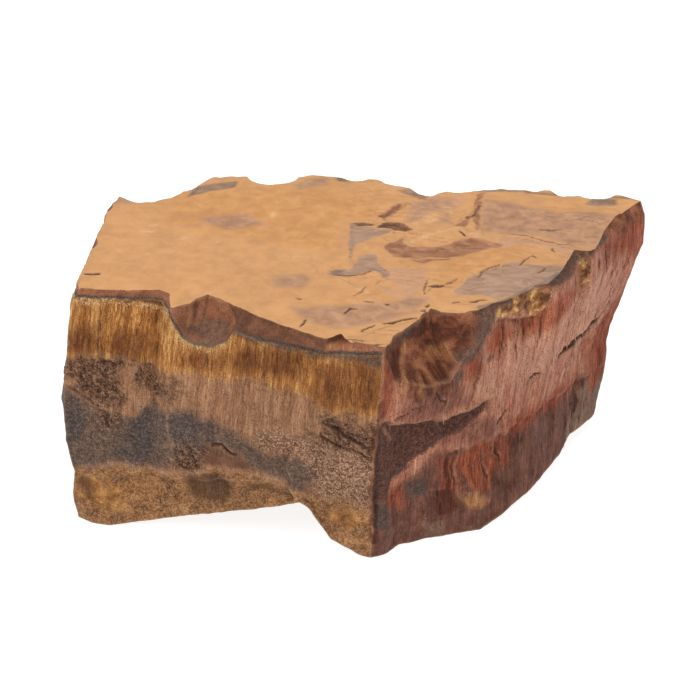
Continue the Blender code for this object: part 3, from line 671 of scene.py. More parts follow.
FRONT_RIGHT = Wall(
    seed=11,
    shown=True,
    golden=False,
    rim_width=-0.6,
    band_stain=Stain.SCOOP,
    skin=(
        (3.5, -38), (4.2, -36), (4.8, -33.3), (6.2, -32.3), (7.7, -30.5), (9.5, -27.5), (10.7, -24.7),
        (11.8, -23), (13.7, -23.7), (17.5, -24), (20.3, -23.3), (22, -21.7), (23.5, -20.5), (26, -19.2),
        (28.5, -17), (30.5, -15), (32, -13), (34.5, -12),
        (37, -8.5), (39.5, -2), (41.5, 4), (44, 2.5), (46, 5), (47.5, 9), (49, 13.5), (51.5, 18.5),
        (54, 22), (58, 27.5),
    ),
    crust=(
        (3, -38.5, 46), (4, -38, 43.5), (5, -37, 40.5), (8, -34.5, 38), (11.5, -32, 36),
        (15.5, -29, 35.5), (17.5, -27, 38.5), (19.5, -25.5, 41), (21, -24.5, 43.5), (22, -23.5, 46),
        (23.5, -21.5, 46.5), (26, -20, 47), (29, -17, 47), (32, -13, 47), (37, -11, 46.5),
        (40.5, -5.5, 46.5), (42, 0.5, 47), (45, 3, 47), (47.5, 8, 46.5), (49.5, 12.5, 47),
        (54.5, 20, 46.5), (59, 26.5, 46),
    ),
    base=(
        (1, -34, 0), (3.5, -33, 0), (6.5, -29.5, 0), (12.5, -27, 0), (20.5, -24.5, 0), (22.5, -24, 0),
        (27, -19.5, 0.5), (33.5, -11.5, 1.5), (40.5, 0.5, 2.5), (43.5, 8, 3), (49, 16, 2.5),
        (50, 18, 2.5),
    ),
    start_post=FRONT_POST,
    end_post=RIGHT_POST,
    ledges=(
        Ledge(((26, 28), (20.5, 27), (15.5, 27.3), (9.5, 28.5), (3, 31), (-1, 32)), 1.9, 11, 0.8),
        Ledge(((42, 28), (39.5, 27)), 0.6, 3, 0.5),
        Ledge(((33, 23.3), (30.5, 21.5)), 0.6, 3, 0.5),
        Ledge(((86, 13), (71, 14.5), (56, 17.5), (43, 19.5), (35.5, 18.5), (28, 19.5)), 1.0, 12, 1.6),
        Ledge(((41, 44.5), (39.5, 41.8), (36, 41.8), (28, 44.8)), 1.5, 7, 0.8),
    ),
    flakes=(Flake((70, 20), (16, 9), 0.8), Flake((36, 10), (13, 8), 0.9)),
    cracks=(
        hairline(0.4, 0.32, (22.7, 40), (22.5, 35), (22, 31), (21.5, 29)),
        hairline(0.3, 0.32, (12.5, 36), (12, 34), (14.5, 31.5), (14, 29.5)),
        hairline(0.3, 0.3, (9.5, 32), (5.5, 31.3), (3, 31)),
        hairline(0.2, 0.35, (26.5, 28), (20.5, 26.8), (15.5, 27.2), (9.5, 28.3), (3, 30.8)),
        Crack(((49, 28.4), (51.4, 28.2), (56, 27.5), (59.4, 28.7), (64.9, 26.4), (71.6, 23.6), (74.5, 26),
               (78, 30)), 1.0, 0.8),
        Crack(((39, 26.8), (41, 27.3), (42.5, 28.3)), 0.5, 0.5),
        Crack(((30.3, 21.3), (32, 22), (33.2, 23.3)), 0.5, 0.5),
        hairline(0.3, 0.3, (67, 47), (67, 44.5), (68.5, 39), (69.5, 36)),
        hairline(0.3, 0.35, (75, 30.5), (78.5, 32.5)),
        hairline(0.3, 0.3, (29.3, 43.5), (29, 36)),
        hairline(0.3, 0.3, (33.3, 42), (33, 33.5)),
        hairline(0.3, 0.3, (36.5, 41), (36, 36)),
        hairline(0.3, 0.3, (40.5, 41), (40, 34.5)),
        hairline(0.3, 0.3, (44.5, 43), (44, 37.5)),
        hairline(0.3, 0.3, (49, 43), (48.5, 38)),
        Crack(((0.5, 31), (0.4, 25), (0.5, 18), (0.6, 12), (0.5, 7)), 0.5, 0.5),
        hairline(0.5, 0.4, (20.3, 8.5), (19.9, 13), (20.3, 18), (18, 18)),
        hairline(0.5, 0.35, (26, 16.5), (28, 12), (30, 8)),
        hairline(0.5, 0.35, (31.5, 17), (33, 12.5), (33, 9.8)),
    ),
    marks={
        Stain.REDNESS: (area((-5, -5), (-5, 55), (90, 55), (90, -5)),),
        Stain.ROSE: (
            area((50, 36), (56, 41), (66, 40), (76, 38), (80, 30), (74, 23), (62, 24), (52, 29)),
            area((31, 36), (38, 36.5), (48, 35), (50, 29), (40, 25.5), (33, 28)),
            area((22.5, 30), (22.5, 34), (27.5, 33.5), (29.5, 29), (26.5, 28.3)),
        ),
        # Painted highlights and a glint, and a small pale patch.
        Stain.PALE_AND_HIGHLIGHT: (
            line(0.5, (22.5, 29.5), (25, 29.3), (27.5, 28.8)), line(0.6, (27.3, 32.5), (26, 33.7)),
            line(0.5, (30, 28.5), (26.5, 24.5), (24, 22)), line(0.4, (30.4, 38.8), (30.9, 36.4)),
            line(0.2, (2.3, 29.5), (3.4, 27)),
        ),
        Stain.RED: (
            area((-0.5, 46), (3.1, 45.5), (2.2, 38.7), (1.8, 33), (-0.5, 33)),
            area((24.2, 39), (25.4, 43), (29.6, 43.2), (31.5, 40.4), (29.2, 37.5), (26, 37)),
            area((18, 38.5), (22, 39), (23.5, 36), (21.5, 33.5), (19, 35)),
            area((32, 42), (40, 42), (44.5, 43.8), (48.5, 43.7), (55.2, 40.4), (50.2, 40), (43, 38.4),
                 (36, 37)),
            area((66, 46), (72, 46.5), (90, 46), (90, 34), (84, 36), (76, 41), (68, 43)),
            area((74, 22), (80, 27), (90, 31), (90, 12), (79.5, 8.3), (76, 14)),
            area((34.2, 18.5), (34.5, 20.5), (43, 20.5), (52.7, 19.2), (57.5, 18.7), (70, 16), (72, 12.5),
                 (57, 14.4), (44.3, 16.5), (38.8, 15)),
            area((16, 18), (20.6, 17.3), (20.4, 9.8), (17, 10.5)),
            area((3.6, 15.4), (8.8, 14), (8.8, 9.4), (4.4, 10.6)),
        ),
        Stain.MAUVE: (
            area((4.4, 35.5), (6.9, 38.7), (11.5, 37.5), (15.3, 38), (15.5, 35), (19, 33), (21, 29),
                 (13.2, 28.5), (9.4, 28.8), (4.8, 30.5)),
            area((15.5, 25.5), (22, 25.5), (29, 23), (33, 20), (28, 18.5), (21, 19.5), (16, 21)),
        ),
        Stain.FACET: (
            area((0.4, 31.6), (2.3, 31.2), (3.6, 30.4), (9, 28.8), (15.3, 26.8), (19.5, 27.2), (22, 27.7),
                 (26.8, 27.8), (26.2, 25.8), (21.2, 22.8), (15.5, 22), (11.1, 20), (5, 17.8), (3, 14.5),
                 (0.4, 13)),
        ),
        Stain.DUSK: (
            area((-2, 31), (-2, -5), (90, -5), (90, 13), (71, 14.5), (56, 17), (43, 18.5), (35.5, 17.5),
                 (28, 18.5), (22, 18), (15, 19.5), (9.5, 15), (3, 14.5)),
        ),
        Stain.FLAME: (
            area((20.8, 16.5), (24.5, 18.6), (33, 18), (36.5, 15.5), (38, 13), (36.5, 9.6), (32, 10.5),
                 (30.9, 7.6), (28.5, 6.8), (23.7, 9.5), (22, 12.5)),
        ),
        # Gold nuggets, their brightest specks painted glints.
        Stain.NUGGET_AND_GLINTS: (
            area((26, 45.3), (28.5, 47.3), (37, 47.6), (41, 46), (40.6, 43.6), (39.3, 41.6), (37, 41.9),
                 (33.5, 44.2), (29.5, 44.5)),
            area((54, 47.5), (57, 47.5), (57, 42), (56, 39.5), (54.5, 43)),
        ),
        Stain.TAUPE: (
            area((68, 10), (73.5, 11), (80, 12), (92, 12.5), (92, 1), (68, 2)),
            area((14.2, 3.4), (18, 2.6), (18, 0), (14.9, 0.4)),
        ),
        Stain.INK: (
            area((0.4, 12.8), (3.6, 11.9), (3.6, 5.5), (0.4, 6.8)),
            area((22.5, 47), (27, 47), (26.6, 44.2), (25, 42.3), (22, 40), (20, 38), (17.2, 37.6),
                 (18.3, 39.6), (20.8, 41.8), (22, 44)),
            line(0.8, (17.5, 36.8), (16.6, 34.6)), line(0.6, (25.4, 37), (26.8, 36.8)),
            line(0.6, (4, 45.6), (8.5, 46.3), (13.5, 45.6)),
            line(0.9, (23, 47.3), (28, 47.9), (37, 48), (44, 47.4), (56, 48), (66, 47.8)),
            area((9, 15), (13.2, 14.4), (14.3, 10.5), (10, 11)),
        ),
        Stain.OCHRE: (
            line(0.45, (7.6, 44.5), (6.4, 41.5), (4.8, 38)), line(0.25, (5, 38), (5.4, 34.5)),
            line(0.2, (9.4, 39.5), (9.2, 34.5)), line(0.25, (12, 38.5), (12.1, 34.8)),
            area((13.5, 41.5), (18, 41), (17.5, 38.6), (14, 38.6)),
            area((21.6, 8.6), (25, 7.6), (30.4, 5.2), (28, 3.8), (23.3, 5.4)),
        ),
        Stain.SCOOP: (area((5, 40), (5.5, 35.5), (9, 34.5), (12.5, 34), (15, 35), (17.5, 38), (18, 41)),),
        Stain.DARK: (
            line(0.5, (0, 36), (0.1, 20), (0.2, 4)), line(0.8, (18.3, 17), (18.6, 10.5)),
            line(0.3, (8, 38.5), (7.8, 33.5)), line(0.35, (10.8, 38), (10.5, 34)),
            line(0.45, (13.2, 39.2), (13.4, 33)), line(0.35, (15.6, 39), (15.5, 34.5)),
            area((3.4, 45.5), (6.3, 44), (3.9, 38.3), (1.7, 40.5)),
            area((5.5, 47), (8, 48), (15, 46.5), (15.6, 43.6), (10.3, 44.2)),
            line(0.3, (14.6, 38), (14.3, 33.5)), line(0.25, (12, 36.5), (11.6, 32)),
            line(0.3, (8.6, 37), (8.8, 31)), line(0.35, (23.4, 14.5), (24.6, 9.8)),
            line(0.3, (30, 10), (28.3, 7.4)), line(0.5, (17.5, 42.5), (20, 44.5)),
            area((15.5, 10.5), (20, 10), (21, 5.5), (16, 5)), area((66, 11), (70, 12.5), (73.5, 9), (70, 6)),
        ),
        Stain.OLIVE: (
            area((72, 47), (90, 47), (90, 44.5), (74, 45)), area((31, 9), (39.5, 8), (40.5, 3.5), (33, 5)),
        ),
    },
)

BACK_RIGHT = Wall(
    seed=12,
    golden=False,
    skin=(
        (58, 27.5), (54, 29.5), (50, 29.5), (41.5, 31), (39.5, 32), (29, 32), (23.5, 31), (18, 29.5),
        (14, 27.5), (11.5, 28.5), (9.5, 31.5), (5.5, 34), (1.5, 36.5),
    ),
    base=((50, 18, 2.5), (49, 25, 1.5), (39, 31, 0), (20, 34, 0), (2, 38, 0)),
    start_post=RIGHT_POST,
    end_post=BACK_POST,
    ledges=(
        Ledge(((38, 22), (27, 24.5), (16, 22), (4, 24)), 1.3, 9, 1.0),
        Ledge(((28, 44), (36, 41), (44, 43)), 1.0, 6, 0.8),
    ),
    flakes=(Flake((18, 31), (17, 14), 2.6), Flake((40, 18), (15, 16), 2.2), Flake((8, 12), (9, 10), 1.2)),
    cracks=(
        Crack(((6, 30), (14, 28.5), (19, 30.5), (27, 29)), 0.6, 0.45),
        Crack(((33, 45), (33.5, 38), (32.5, 33)), 0.5, 0.4),
        Crack(((45, 22), (49, 20), (53, 21)), 0.6, 0.4),
    ),
    marks={
        Stain.REDNESS: (
            area((-2, -5), (-2, 55), (36, 55), (38.5, 46), (44, 38), (40, 31), (42.5, 24), (35, 17), (38, 9),
                 (33, -5)),
        ),
        Stain.RED: (
            area((-2, 50), (9, 48), (16, 42), (13, 36), (4, 38), (-2, 40)),
            area((24, 46), (31, 47), (33, 38), (27, 36)),
        ),
        Stain.DUSK: (area((-2, 14), (10, 15), (25, 14), (36, 16), (41, 10), (40, -5), (-2, -5)),),
        Stain.FACET: (area((12, 34), (20, 36), (28, 32), (24, 26), (14, 28)),),
        Stain.MAUVE: (area((3, 36), (9, 43), (18, 44), (28, 41), (34, 31), (30, 21), (18, 18), (8, 22)),),
        Stain.FLAME: (area((10, 17), (18, 18), (22, 14), (17, 9), (12, 10)),),
        Stain.GOLD: (area((60, 52), (42, 52), (42, 41), (47, 36.5), (52, 37), (60, 36)),),
        Stain.GRIT: (area((44, 35), (51, 35.5), (53, 30), (48, 27.5), (43, 30)),),
        Stain.BLUE: (area((60, 27), (50, 27.5), (43, 24), (41, 17), (47, 13.5), (60, 13)),),
        Stain.LOWER: (area((60, 12.5), (50, 13), (44, 11), (40, 5), (40, -3), (60, -3)),),
        Stain.TAUPE: (area((-2, 8), (6, 7), (9, 3), (8, -3), (-2, -3)),),
        Stain.OLIVE: (area((46, 9), (52, 10), (54, 5), (48, 4)),),
    },
)

BACK_LEFT = Wall(
    seed=9,
    skin=(
        (1.5, 36.5), (-4, 36.5), (-7.5, 36.5), (-11.5, 37), (-14, 35.5), (-17.5, 33), (-22, 33.5),
        (-25, 35.5), (-32, 35), (-35.5, 29.5), (-38, 27), (-40, 23.5), (-43.5, 21.5), (-47, 21.5),
        (-51, 24), (-52.5, 23),
    ),
    base=((2, 38, 0), (-15, 39, 0), (-30, 35, 0), (-42, 31, 0), (-51, 26, 0)),
    start_post=BACK_POST,
    end_post=REAR_LEFT_POST,
    ledges=(
        Ledge(((46, 13.5), (30, 14.5), (16, 12), (3, 13)), 1.1, 8, 1.2),
        Ledge(((50, 36), (42, 37.5), (31, 35), (20, 38)), 0.9, 6, 0.9),
    ),
    flakes=(Flake((14, 27), (13, 16), 2.3), Flake((37, 18), (16, 13), 2.6), Flake((45, 37), (9, 8), 1.5)),
    cracks=(
        Crack(((5, 24), (12, 22), (20, 23.5)), 0.6, 0.45),
        Crack(((26, 47), (26.5, 41), (25.5, 36)), 0.5, 0.4),
        Crack(((40, 9), (46, 10.5), (50, 9.5)), 0.6, 0.4),
    ),
    marks={
        Stain.GOLD: (
            area((-2, 52), (-2, 36.5), (8, 37.5), (16, 35), (26, 37), (36, 35.5), (46, 36.5), (60, 36),
                 (60, 52)),
        ),
        Stain.CREAM: (line(0.6, (3, 47.6), (22, 47.4)), line(0.6, (34, 47.4), (50, 47.8))),
        Stain.RUST: (
            area((10, 37), (12, 42), (19, 42), (20, 37)), area((38, 37), (40, 41), (47, 42), (48, 38)),
        ),
        Stain.GRIT: (
            area((3, 34), (10, 36), (15, 33), (13, 29), (8, 26.5), (3, 30)),
            area((24, 33), (30, 35.5), (38, 34.5), (47, 35), (50, 31), (44, 30.5), (40, 27), (33, 29),
                 (28, 28.5)),
        ),
        Stain.BLUE: (
            area((-2, 27), (5, 28.5), (12, 24), (18, 27.5), (25, 22.5), (33, 27), (42, 28.5), (50, 23),
                 (60, 26), (60, 13), (50, 16.5), (42, 12.5), (33, 14), (24, 11.5), (14, 15), (7, 12.5),
                 (-2, 13.5)),
        ),
        Stain.BLUE_CORE: (
            area((-1, 26), (5, 26.5), (8, 20), (3, 15), (-1, 16)),
            area((30, 24), (38, 26.5), (45, 24), (44, 17), (34, 15.5)),
            area((13, 23), (17, 25), (19, 20), (14, 18)),
        ),
        Stain.BROWN: (area((19, 23), (28, 22), (31, 17), (22, 13.5), (17, 17)),),
        Stain.LOWER: (
            area((-2, 12.5), (12, 12.5), (24, 14), (36, 12), (48, 13.5), (60, 12.5), (60, -3), (-2, -3)),
        ),
        Stain.OLIVE: (area((16, 11), (24, 12), (27, 7), (19, 5)),),
        Stain.YELLOW: (area((36, 10), (44, 10.5), (46, 6), (38, 5)), area((3, 9), (9, 10), (10, 5), (4, 4))),
        Stain.SPECKLE: (area((14, 27), (26, 25), (30, 18), (20, 16), (13, 20)),),
    },
)

LEFT_END = Wall(
    seed=8,
    skin=((-52.5, 23), (-52.5, 14), (-53, 7.5), (-53.5, -4.5), (-54, -11.5), (-54.5, -18.5)),
    base=((-51, 26, 0), (-55, 12, 0), (-57.5, 0, 0), (-58, -10, 0), (-57, -19.5, 0)),
    start_post=REAR_LEFT_POST,
    end_post=FRONT_LEFT_POST,
    ledges=(
        Ledge(((40, 12.5), (27, 12), (15, 13.5), (3, 13)), 1.1, 8, 1.2),
        Ledge(((3, 35), (12, 37), (21, 35.5)), 0.9, 6, 0.9),
    ),
    flakes=(Flake((13, 31), (12, 12), 1.8), Flake((30, 15), (12, 12), 2.1), Flake((35, 38), (7, 7), 1.1)),
    cracks=(
        Crack(((20, 47), (20.5, 41), (20, 35)), 0.5, 0.4),
        Crack(((8, 21), (14, 20), (19, 21.5)), 0.6, 0.45),
    ),
    marks={
        Stain.GOLD: (
            area((-2, 52), (-2, 36), (8, 37.5), (18, 35.5), (28, 37), (36, 36), (44, 36), (44, 52)),
        ),
        Stain.CREAM: (line(0.6, (4, 48), (18, 47.6)), line(0.6, (26, 47.4), (40, 47.6))),
        Stain.RUST: (
            area((5, 38), (7, 43), (14, 42), (13, 37)), area((27, 38), (29, 42), (36, 42), (35, 37.5)),
        ),
        Stain.GRIT: (
            area((31, 35.5), (38, 36), (44, 35.5), (44, 31.5), (38, 29.5), (33, 31)),
            area((9, 33), (17, 34), (20, 30), (13, 27.5)),
        ),
        Stain.BLUE: (
            area((-2, 26), (5, 28), (11, 23.5), (20, 27.5), (26, 24.5), (32, 28), (38, 29), (44, 29.5),
                 (44, 12.5), (36, 15.5), (30, 12.5), (22, 14), (14, 11), (7, 14.5), (-2, 13)),
        ),
        Stain.BLUE_CORE: (
            area((2, 24), (6, 26), (9, 20), (5, 16), (1, 18)),
            area((18, 24), (24, 24.5), (27, 18), (20, 15.5), (16, 19)),
            area((37, 27), (45, 28), (45, 17), (39, 16)),
        ),
        Stain.BROWN: (area((28, 24), (35, 22), (36, 16), (30, 15), (27, 19)),),
        Stain.LOWER: (area((-2, 12.5), (12, 13.5), (24, 11), (34, 13), (44, 12), (44, -3), (-2, -3)),),
        Stain.YELLOW: (area((30, 10), (37, 10.5), (39, 5), (32, 4)), area((6, 9), (13, 10), (14, 5), (7, 4))),
        Stain.OLIVE: (area((17, 9), (24, 9.5), (26, 4), (19, 3)),),
    },
)


@dataclass(frozen=True)
class Skin:
    """The flat top: its ledges, cracks and marks, in (x, y)."""

    ledges: Sequence[Ledge] = (
        Ledge(((2.5, 13), (-0.5, 13.4), (-3.2, 13)), 0.6, 6, 0.45),
        Ledge(((-3.2, 12), (-3, 4), (-3.2, -5)), 0.22, 6, 0.5),
        Ledge(((9.5, 25), (7.5, 23), (5.5, 20), (4, 17.5), (2.5, 18)), 0.7, 8, 0.5),
        Ledge(((9.5, 10.5), (8, 12.3), (7, 14), (5, 15), (4, 14.3), (3, 11.8)), 0.9, 6, 0.7),
        Ledge(((18.5, 14), (22, 18.5), (23.5, 23), (25, 30.5)), 0.9, 9, 0.9),
        Ledge(((27.5, 5), (26.5, 6.5), (24, 7.5), (21, 8), (18, 6.5), (13.5, 3.5), (8.5, 3), (7.5, 5),
               (8, 7.5)), 0.7, 9, 1.4),
        Ledge(((46, 5.5), (38.5, 5.5), (35, 6.5), (31.5, 9), (28.5, 11)), 0.4, 10, 0.8),
        Ledge(((-10, -7.5), (-9.5, -9.3), (-7.5, -10), (-4.5, -12), (-1.5, -16)), 0.45, 8, 0.5),
        Ledge(((9.5, -26.5), (6.5, -27.5), (4.5, -29), (3, -29.5)), 0.35, 5, 0.35),
        Ledge(((18, -13.5), (14, -13.5), (12, -14.5), (10.5, -17)), 0.4, 5, 0.5),
        Ledge(((2, -14.5), (3.5, -11), (4.3, -8), (2.5, -3.5)), 0.25, 4, 0.4),
        Ledge(((31.5, -2), (26.5, -4.5), (22, -8), (17, -15)), 0.3, 7, 0.5),
    )
    cracks: Sequence[Crack] = (
        Crack(((11.5, -14.5), (13, -14), (15, -13.5)), 0.5, 0.3),
        hairline(0.2, 0.22, (15, -13.5), (17.5, -11.5)),
        hairline(0.3, 0.24, (21, -10), (23.5, -6.5), (26, -4.5)),
        hairline(0.4, 0.26, (29.5, -4.5), (31.5, -1.5), (33, 1), (34, -1)),
        hairline(0.3, 0.26, (-13, -20), (-12, -20.5)),
        Crack(((-4, -26), (-3, -23.5), (-1.5, -24)), 0.4, 0.27),
        Crack(((-12, -31.5), (-11, -28)), 0.3, 0.25),
        Crack(((-0.5, -20.5), (1.5, -21)), 0.4, 0.25),
        Crack(((3.5, -21.5), (4.5, -22)), 0.5, 0.32),
        Crack(((-1, -32.5), (0, -31.5), (1.5, -30.5)), 0.4, 0.27),
        Crack(((2.8, -29.7), (4.5, -29), (6.5, -27.5), (9.5, -26.5)), 0.5, 0.33),
        Crack(((10, -24), (11, -23.5), (12.5, -24.5)), 0.5, 0.3),
        Crack(((11, -22.5), (11.5, -21)), 0.4, 0.26),
        Crack(((16, -20), (17.5, -19.6)), 0.5, 0.27),
        Crack(((19, -19.5), (22.5, -19)), 0.5, 0.27),
        Crack(((-2.5, -36.5), (0.5, -37.5), (3, -37)), 0.5, 0.33),
        Crack(((-5, -34.8), (-2.5, -35.6), (0.5, -36.3)), 0.3, 0.24),
        hairline(0.3, 0.2, (11.5, -11.5), (11, -15.5), (11, -17.5)),
        hairline(0.3, 0.26, (32.5, -8.5), (35, -5)),
        hairline(0.4, 0.28, (37, 4), (37.5, 2)),
        hairline(0.4, 0.26, (35, 12.5), (38, 12), (40, 12)),
        hairline(0.2, 0.24, (28.5, 11), (32.5, 10), (35.5, 6.5), (38.5, 5.5), (42, 5.5)),
        Crack(((-53.5, -12), (-52, -12.3), (-50.5, -12)), 0.6, 0.38),
        Crack(((19, 11), (19.5, 10.5), (20, 8.5)), 0.5, 0.36),
        hairline(0.3, 0.3, (2.5, 18), (4, 17.5), (5.5, 20), (7.5, 23)),
        hairline(0.2, 0.26, (-7.5, -9), (-4, -9.7), (-0.5, -9.5), (2, -7.5), (4, -7)),
        hairline(0.2, 0.22, (-2.5, -18.5), (-1, -17), (0, -14)),
    )
    marks: Marks = field(default_factory=lambda: {
        # Painted sheen where smooth facets reflect the light.
        Stain.LILAC_SHEEN: (
            area((-3, 13), (2.5, 10.5), (5.5, 10.5), (5, 9.5), (3, 7.5), (-2, 3.5), (-2.5, 0), (-3, -5),
                 (-3.3, 3.5)),
            area((-2.5, -4.5), (-1, -1), (2, -0.5), (2.5, -3.5), (4.5, -8.5), (4, -11.5), (2, -7.5),
                 (-3, -10.5), (-7.5, -9), (-4, -7.5), (-2.5, -6.5)),
            area((17, -15), (22, -8), (27, -4.5), (29.5, -3.5), (34.5, -4.5), (38.5, -3), (40, -8), (34, -14),
                 (27.5, -16.5), (24.5, -19), (21.5, -17.5), (17, -17.5)),
        ),
        # Painted sheen on facets that catch the light.
        Stain.HAZE_SHEEN: (
            area((24.5, 25.5), (25, 27), (30, 26), (35.5, 22.5), (41, 20.5), (46.5, 20.5), (52, 19), (48, 10),
                 (46, 5), (39.5, 6), (35, 9.5), (31.5, 10.5), (27.5, 11), (23.5, 12)),
            area((-14, -23.5), (-9, -23), (0.5, -21.5), (5, -21), (8.5, -18), (11.5, -19), (9.5, -24.5),
                 (2.5, -29), (-5, -32), (-11, -29)),
            area((8.5, 15), (9, 19), (10, 24.5), (14.5, 26.5), (18, 27), (18.5, 23), (13, 20), (11, 16)),
            area((14.5, 14.5), (16, 18), (17.5, 22), (17.5, 15)),
            area((-56, 25), (-50, 25), (-46, 21), (-52, 20)),
            area((-18, -12), (-12, -10), (-10, -12), (-12, -16), (-17, -16)),
            area((-34, 14), (-24, 17), (-20, 12), (-28, 9)),
            area((-15, 31.5), (-12, 35), (-7.5, 36.5), (-7.5, 32), (-13.5, 29.5)),
        ),
        Stain.PINK: (
            area((5, -6), (10, -7.5), (11.5, -6), (11.5, -11.5), (10.5, -15.5), (8.5, -17.5), (6, -15.5),
                 (5, -10.5)),
            area((2, -14.5), (4, -14), (6.5, -17), (11.5, -18.5), (11, -21), (8, -20), (4.5, -18)),
            area((10, 16), (18, 22), (22, 27), (14, 27), (10, 24)),
            area((24, 3), (32, 5), (36, 4), (40, 0), (44, 3), (41, 5), (34, 7), (28, 10)),
        ),
        Stain.WARM: (
            area((29, 25.5), (35.5, 23), (44, 23), (51.5, 23.5), (50.5, 20.5), (41, 20.5), (32.5, 21.5)),
            area((18.5, 0.5), (25.5, 4.5), (32.5, 4.5), (29.5, -2.5), (25, -6.5), (19.5, -11), (14, -13),
                 (14.5, -1.5)),
            area((8.5, -2), (9, -4.5), (10, -5), (11.5, -2), (19.5, 0), (23, 2), (19.5, -2.5), (15.5, -4.5),
                 (13, -4.5)),
            area((-2.5, -18.5), (3.5, -18), (8.5, -18), (3.5, -15), (0, -14)),
            area((-40, 27), (-24, 30), (-10, 31), (4, 26), (2, 17), (-4, 15), (-6, 0), (-20, 4), (-40, 12)),
        ),
        # Painted shade in the scooped hollows and on the steep ledge faces of the top.
        Stain.LENS_SHADE: (
            area((3.5, 3), (5.5, 5.5), (7, 7.5), (8, 7.5), (7.5, 5), (8.5, 3), (13.5, 3.5), (18, 6.5),
                 (21, 8), (24, 7.5), (26.5, 6.5), (27.5, 5), (19.5, 0), (15, -0.5), (9.5, -2), (5, 0)),
            area((24, 30), (25.5, 30.5), (24.5, 26.5), (24, 21.5), (23, 11.5), (22.5, 13), (22.3, 18.5)),
            area((18, 13), (19, 14.5), (21, 16.5), (23, 22), (23, 18.5), (21, 15), (20, 13)),
            area((2.5, 18), (4, 17.3), (5.5, 19), (7.5, 22), (9, 24.5), (6.5, 22.5), (4.5, 19.5)),
            line(0.1, (-6, -35.3), (-1, -34), (3.5, -31), (9, -28)),
            area((8.5, -2.5), (11, -4.5), (13, -3), (19, -1)),
        ),
        # Painted shadow under the overhanging steps and along a steep riser.
        Stain.OVERHANG_SHADOW: (
            area((2.5, 11), (3.5, 14), (5, 15.5), (7.2, 14.2), (8.5, 12.2), (10, 10.3), (7.5, 10.8)),
            area((-3, 13), (-0.5, 13.5), (2, 13), (1.5, 12), (0, 12.3)),
            area((2.5, 18), (4, 17.1), (4.4, 18.2)), line(0.35, (21, 16.5), (22.5, 19), (23.6, 23)),
        ),
        Stain.SLATE: (
            area((46, 25), (48, 28), (53, 28), (52.5, 24.5), (48.5, 24)),
            area((-7.5, -8.3), (-5.5, -7.2), (-4, -7.2), (-4.5, -8.6), (-6, -9.2)),
            area((-36, 28.5), (-32, 31.5), (-27, 33), (-27, 30), (-32, 27.5), (-37, 24)),
            area((7, 30.5), (9.5, 31), (14, 28), (12.5, 26.5), (9, 28.5)),
            area((-6.5, 37), (-3.5, 37), (-3, 34), (-5.5, 34)),
            line(0.5, (24.5, 31.2), (33, 31.6), (41.5, 30.6), (49.5, 29), (57, 28.2)),
            line(1.0, (21.5, -22.3), (26, -19.6), (28.5, -17.3), (31.5, -14), (34.5, -12), (37, -8.5)),
        ),
        # Short pale flecks, and longer painted highlights along the lit edges of steps.
        Stain.FLECK_AND_LIT_EDGE: (
            line(0.25, (-44.5, 7.5), (-42.5, 8)), line(0.25, (-43, 10.5), (-41.8, 11)),
            line(0.25, (-37.5, 4.5), (-35.5, 5), (-33.5, 4.5)), line(0.25, (-48, -2), (-47, -2.3)),
            line(0.25, (-42, -3), (-41, -2.8)), line(0.25, (-30, 3), (-29, 3.4)),
            line(0.25, (-20, 23), (-17.8, 23.2)), line(0.25, (-19, 16), (-18.6, 18)),
            line(0.25, (-14, -3), (-11, -2.5)), line(0.3, (15.7, 22.5), (18, 23.5), (17.5, 20)),
            line(0.25, (11, 14.5), (15, 16.5)), line(0.3, (-30, -18.7), (-28.8, -19)),
            line(0.25, (-9, -9), (-7, -9.6), (-4, -11.3)), line(0.25, (22, 8.7), (26, 7.6), (28.5, 5.5)),
            line(0.4, (7.9, 4.6), (10.5, 7.5), (15.7, 10), (19.1, 12.6)),
            line(0.45, (20.3, 10.7), (24.4, 9.6), (27.5, 6.5)),
            line(0.35, (10.1, 13.8), (12.8, 16.6), (15.2, 19.2), (17.9, 21.7)),
            line(0.4, (-9.9, -8.9), (-5.3, -11), (-1.7, -15), (1.9, -18.9)),
        ),
    })
    SEED = 3
    SWELL = ((0.45, 20.0), (0.10, 6.0))
    WANDER = ((0.35, 3.0), (0.25, 1.1))
    STEP_HEIGHT = 0.26
    STEP_COUNT = 2.4
    STEP_CELL = (11.0, 5.0)
    STEP_FLAT_AND_RISER = (0.4, 0.2)
    BROKEN_FROM_X = -6.0
    BROKEN_WITHIN = 8.0
    GRAIN_HEIGHT = 0.03
    GRAIN_CELL = (1.6, 1.1)

    def relief(self, x: Array, y: Array) -> Relief:
        """Carves the top.

        Args:
            x: X of each place.
            y: Y of each place.

        Returns:
            How far each place stands above the plane, and how deep it lies in each stain.
        """
        p, q = wander(x, y, self.WANDER, self.SEED)
        rise, stains = carve(p, q, self.ledges, self.cracks, self.marks)
        for height, length in self.SWELL:
            rise += height * waves(stretched(x, y, length, length), length)
        steps = self.STEP_COUNT * waves(stretched(x, y, *self.STEP_CELL), self.SEED + 28)
        broken = smooth((x - self.BROKEN_FROM_X) / self.BROKEN_WITHIN)
        rise = rise + self.STEP_HEIGHT * broken * terraces(steps, *self.STEP_FLAT_AND_RISER)
        return rise + self.GRAIN_HEIGHT * waves(stretched(x, y, *self.GRAIN_CELL), self.SEED + 30), stains


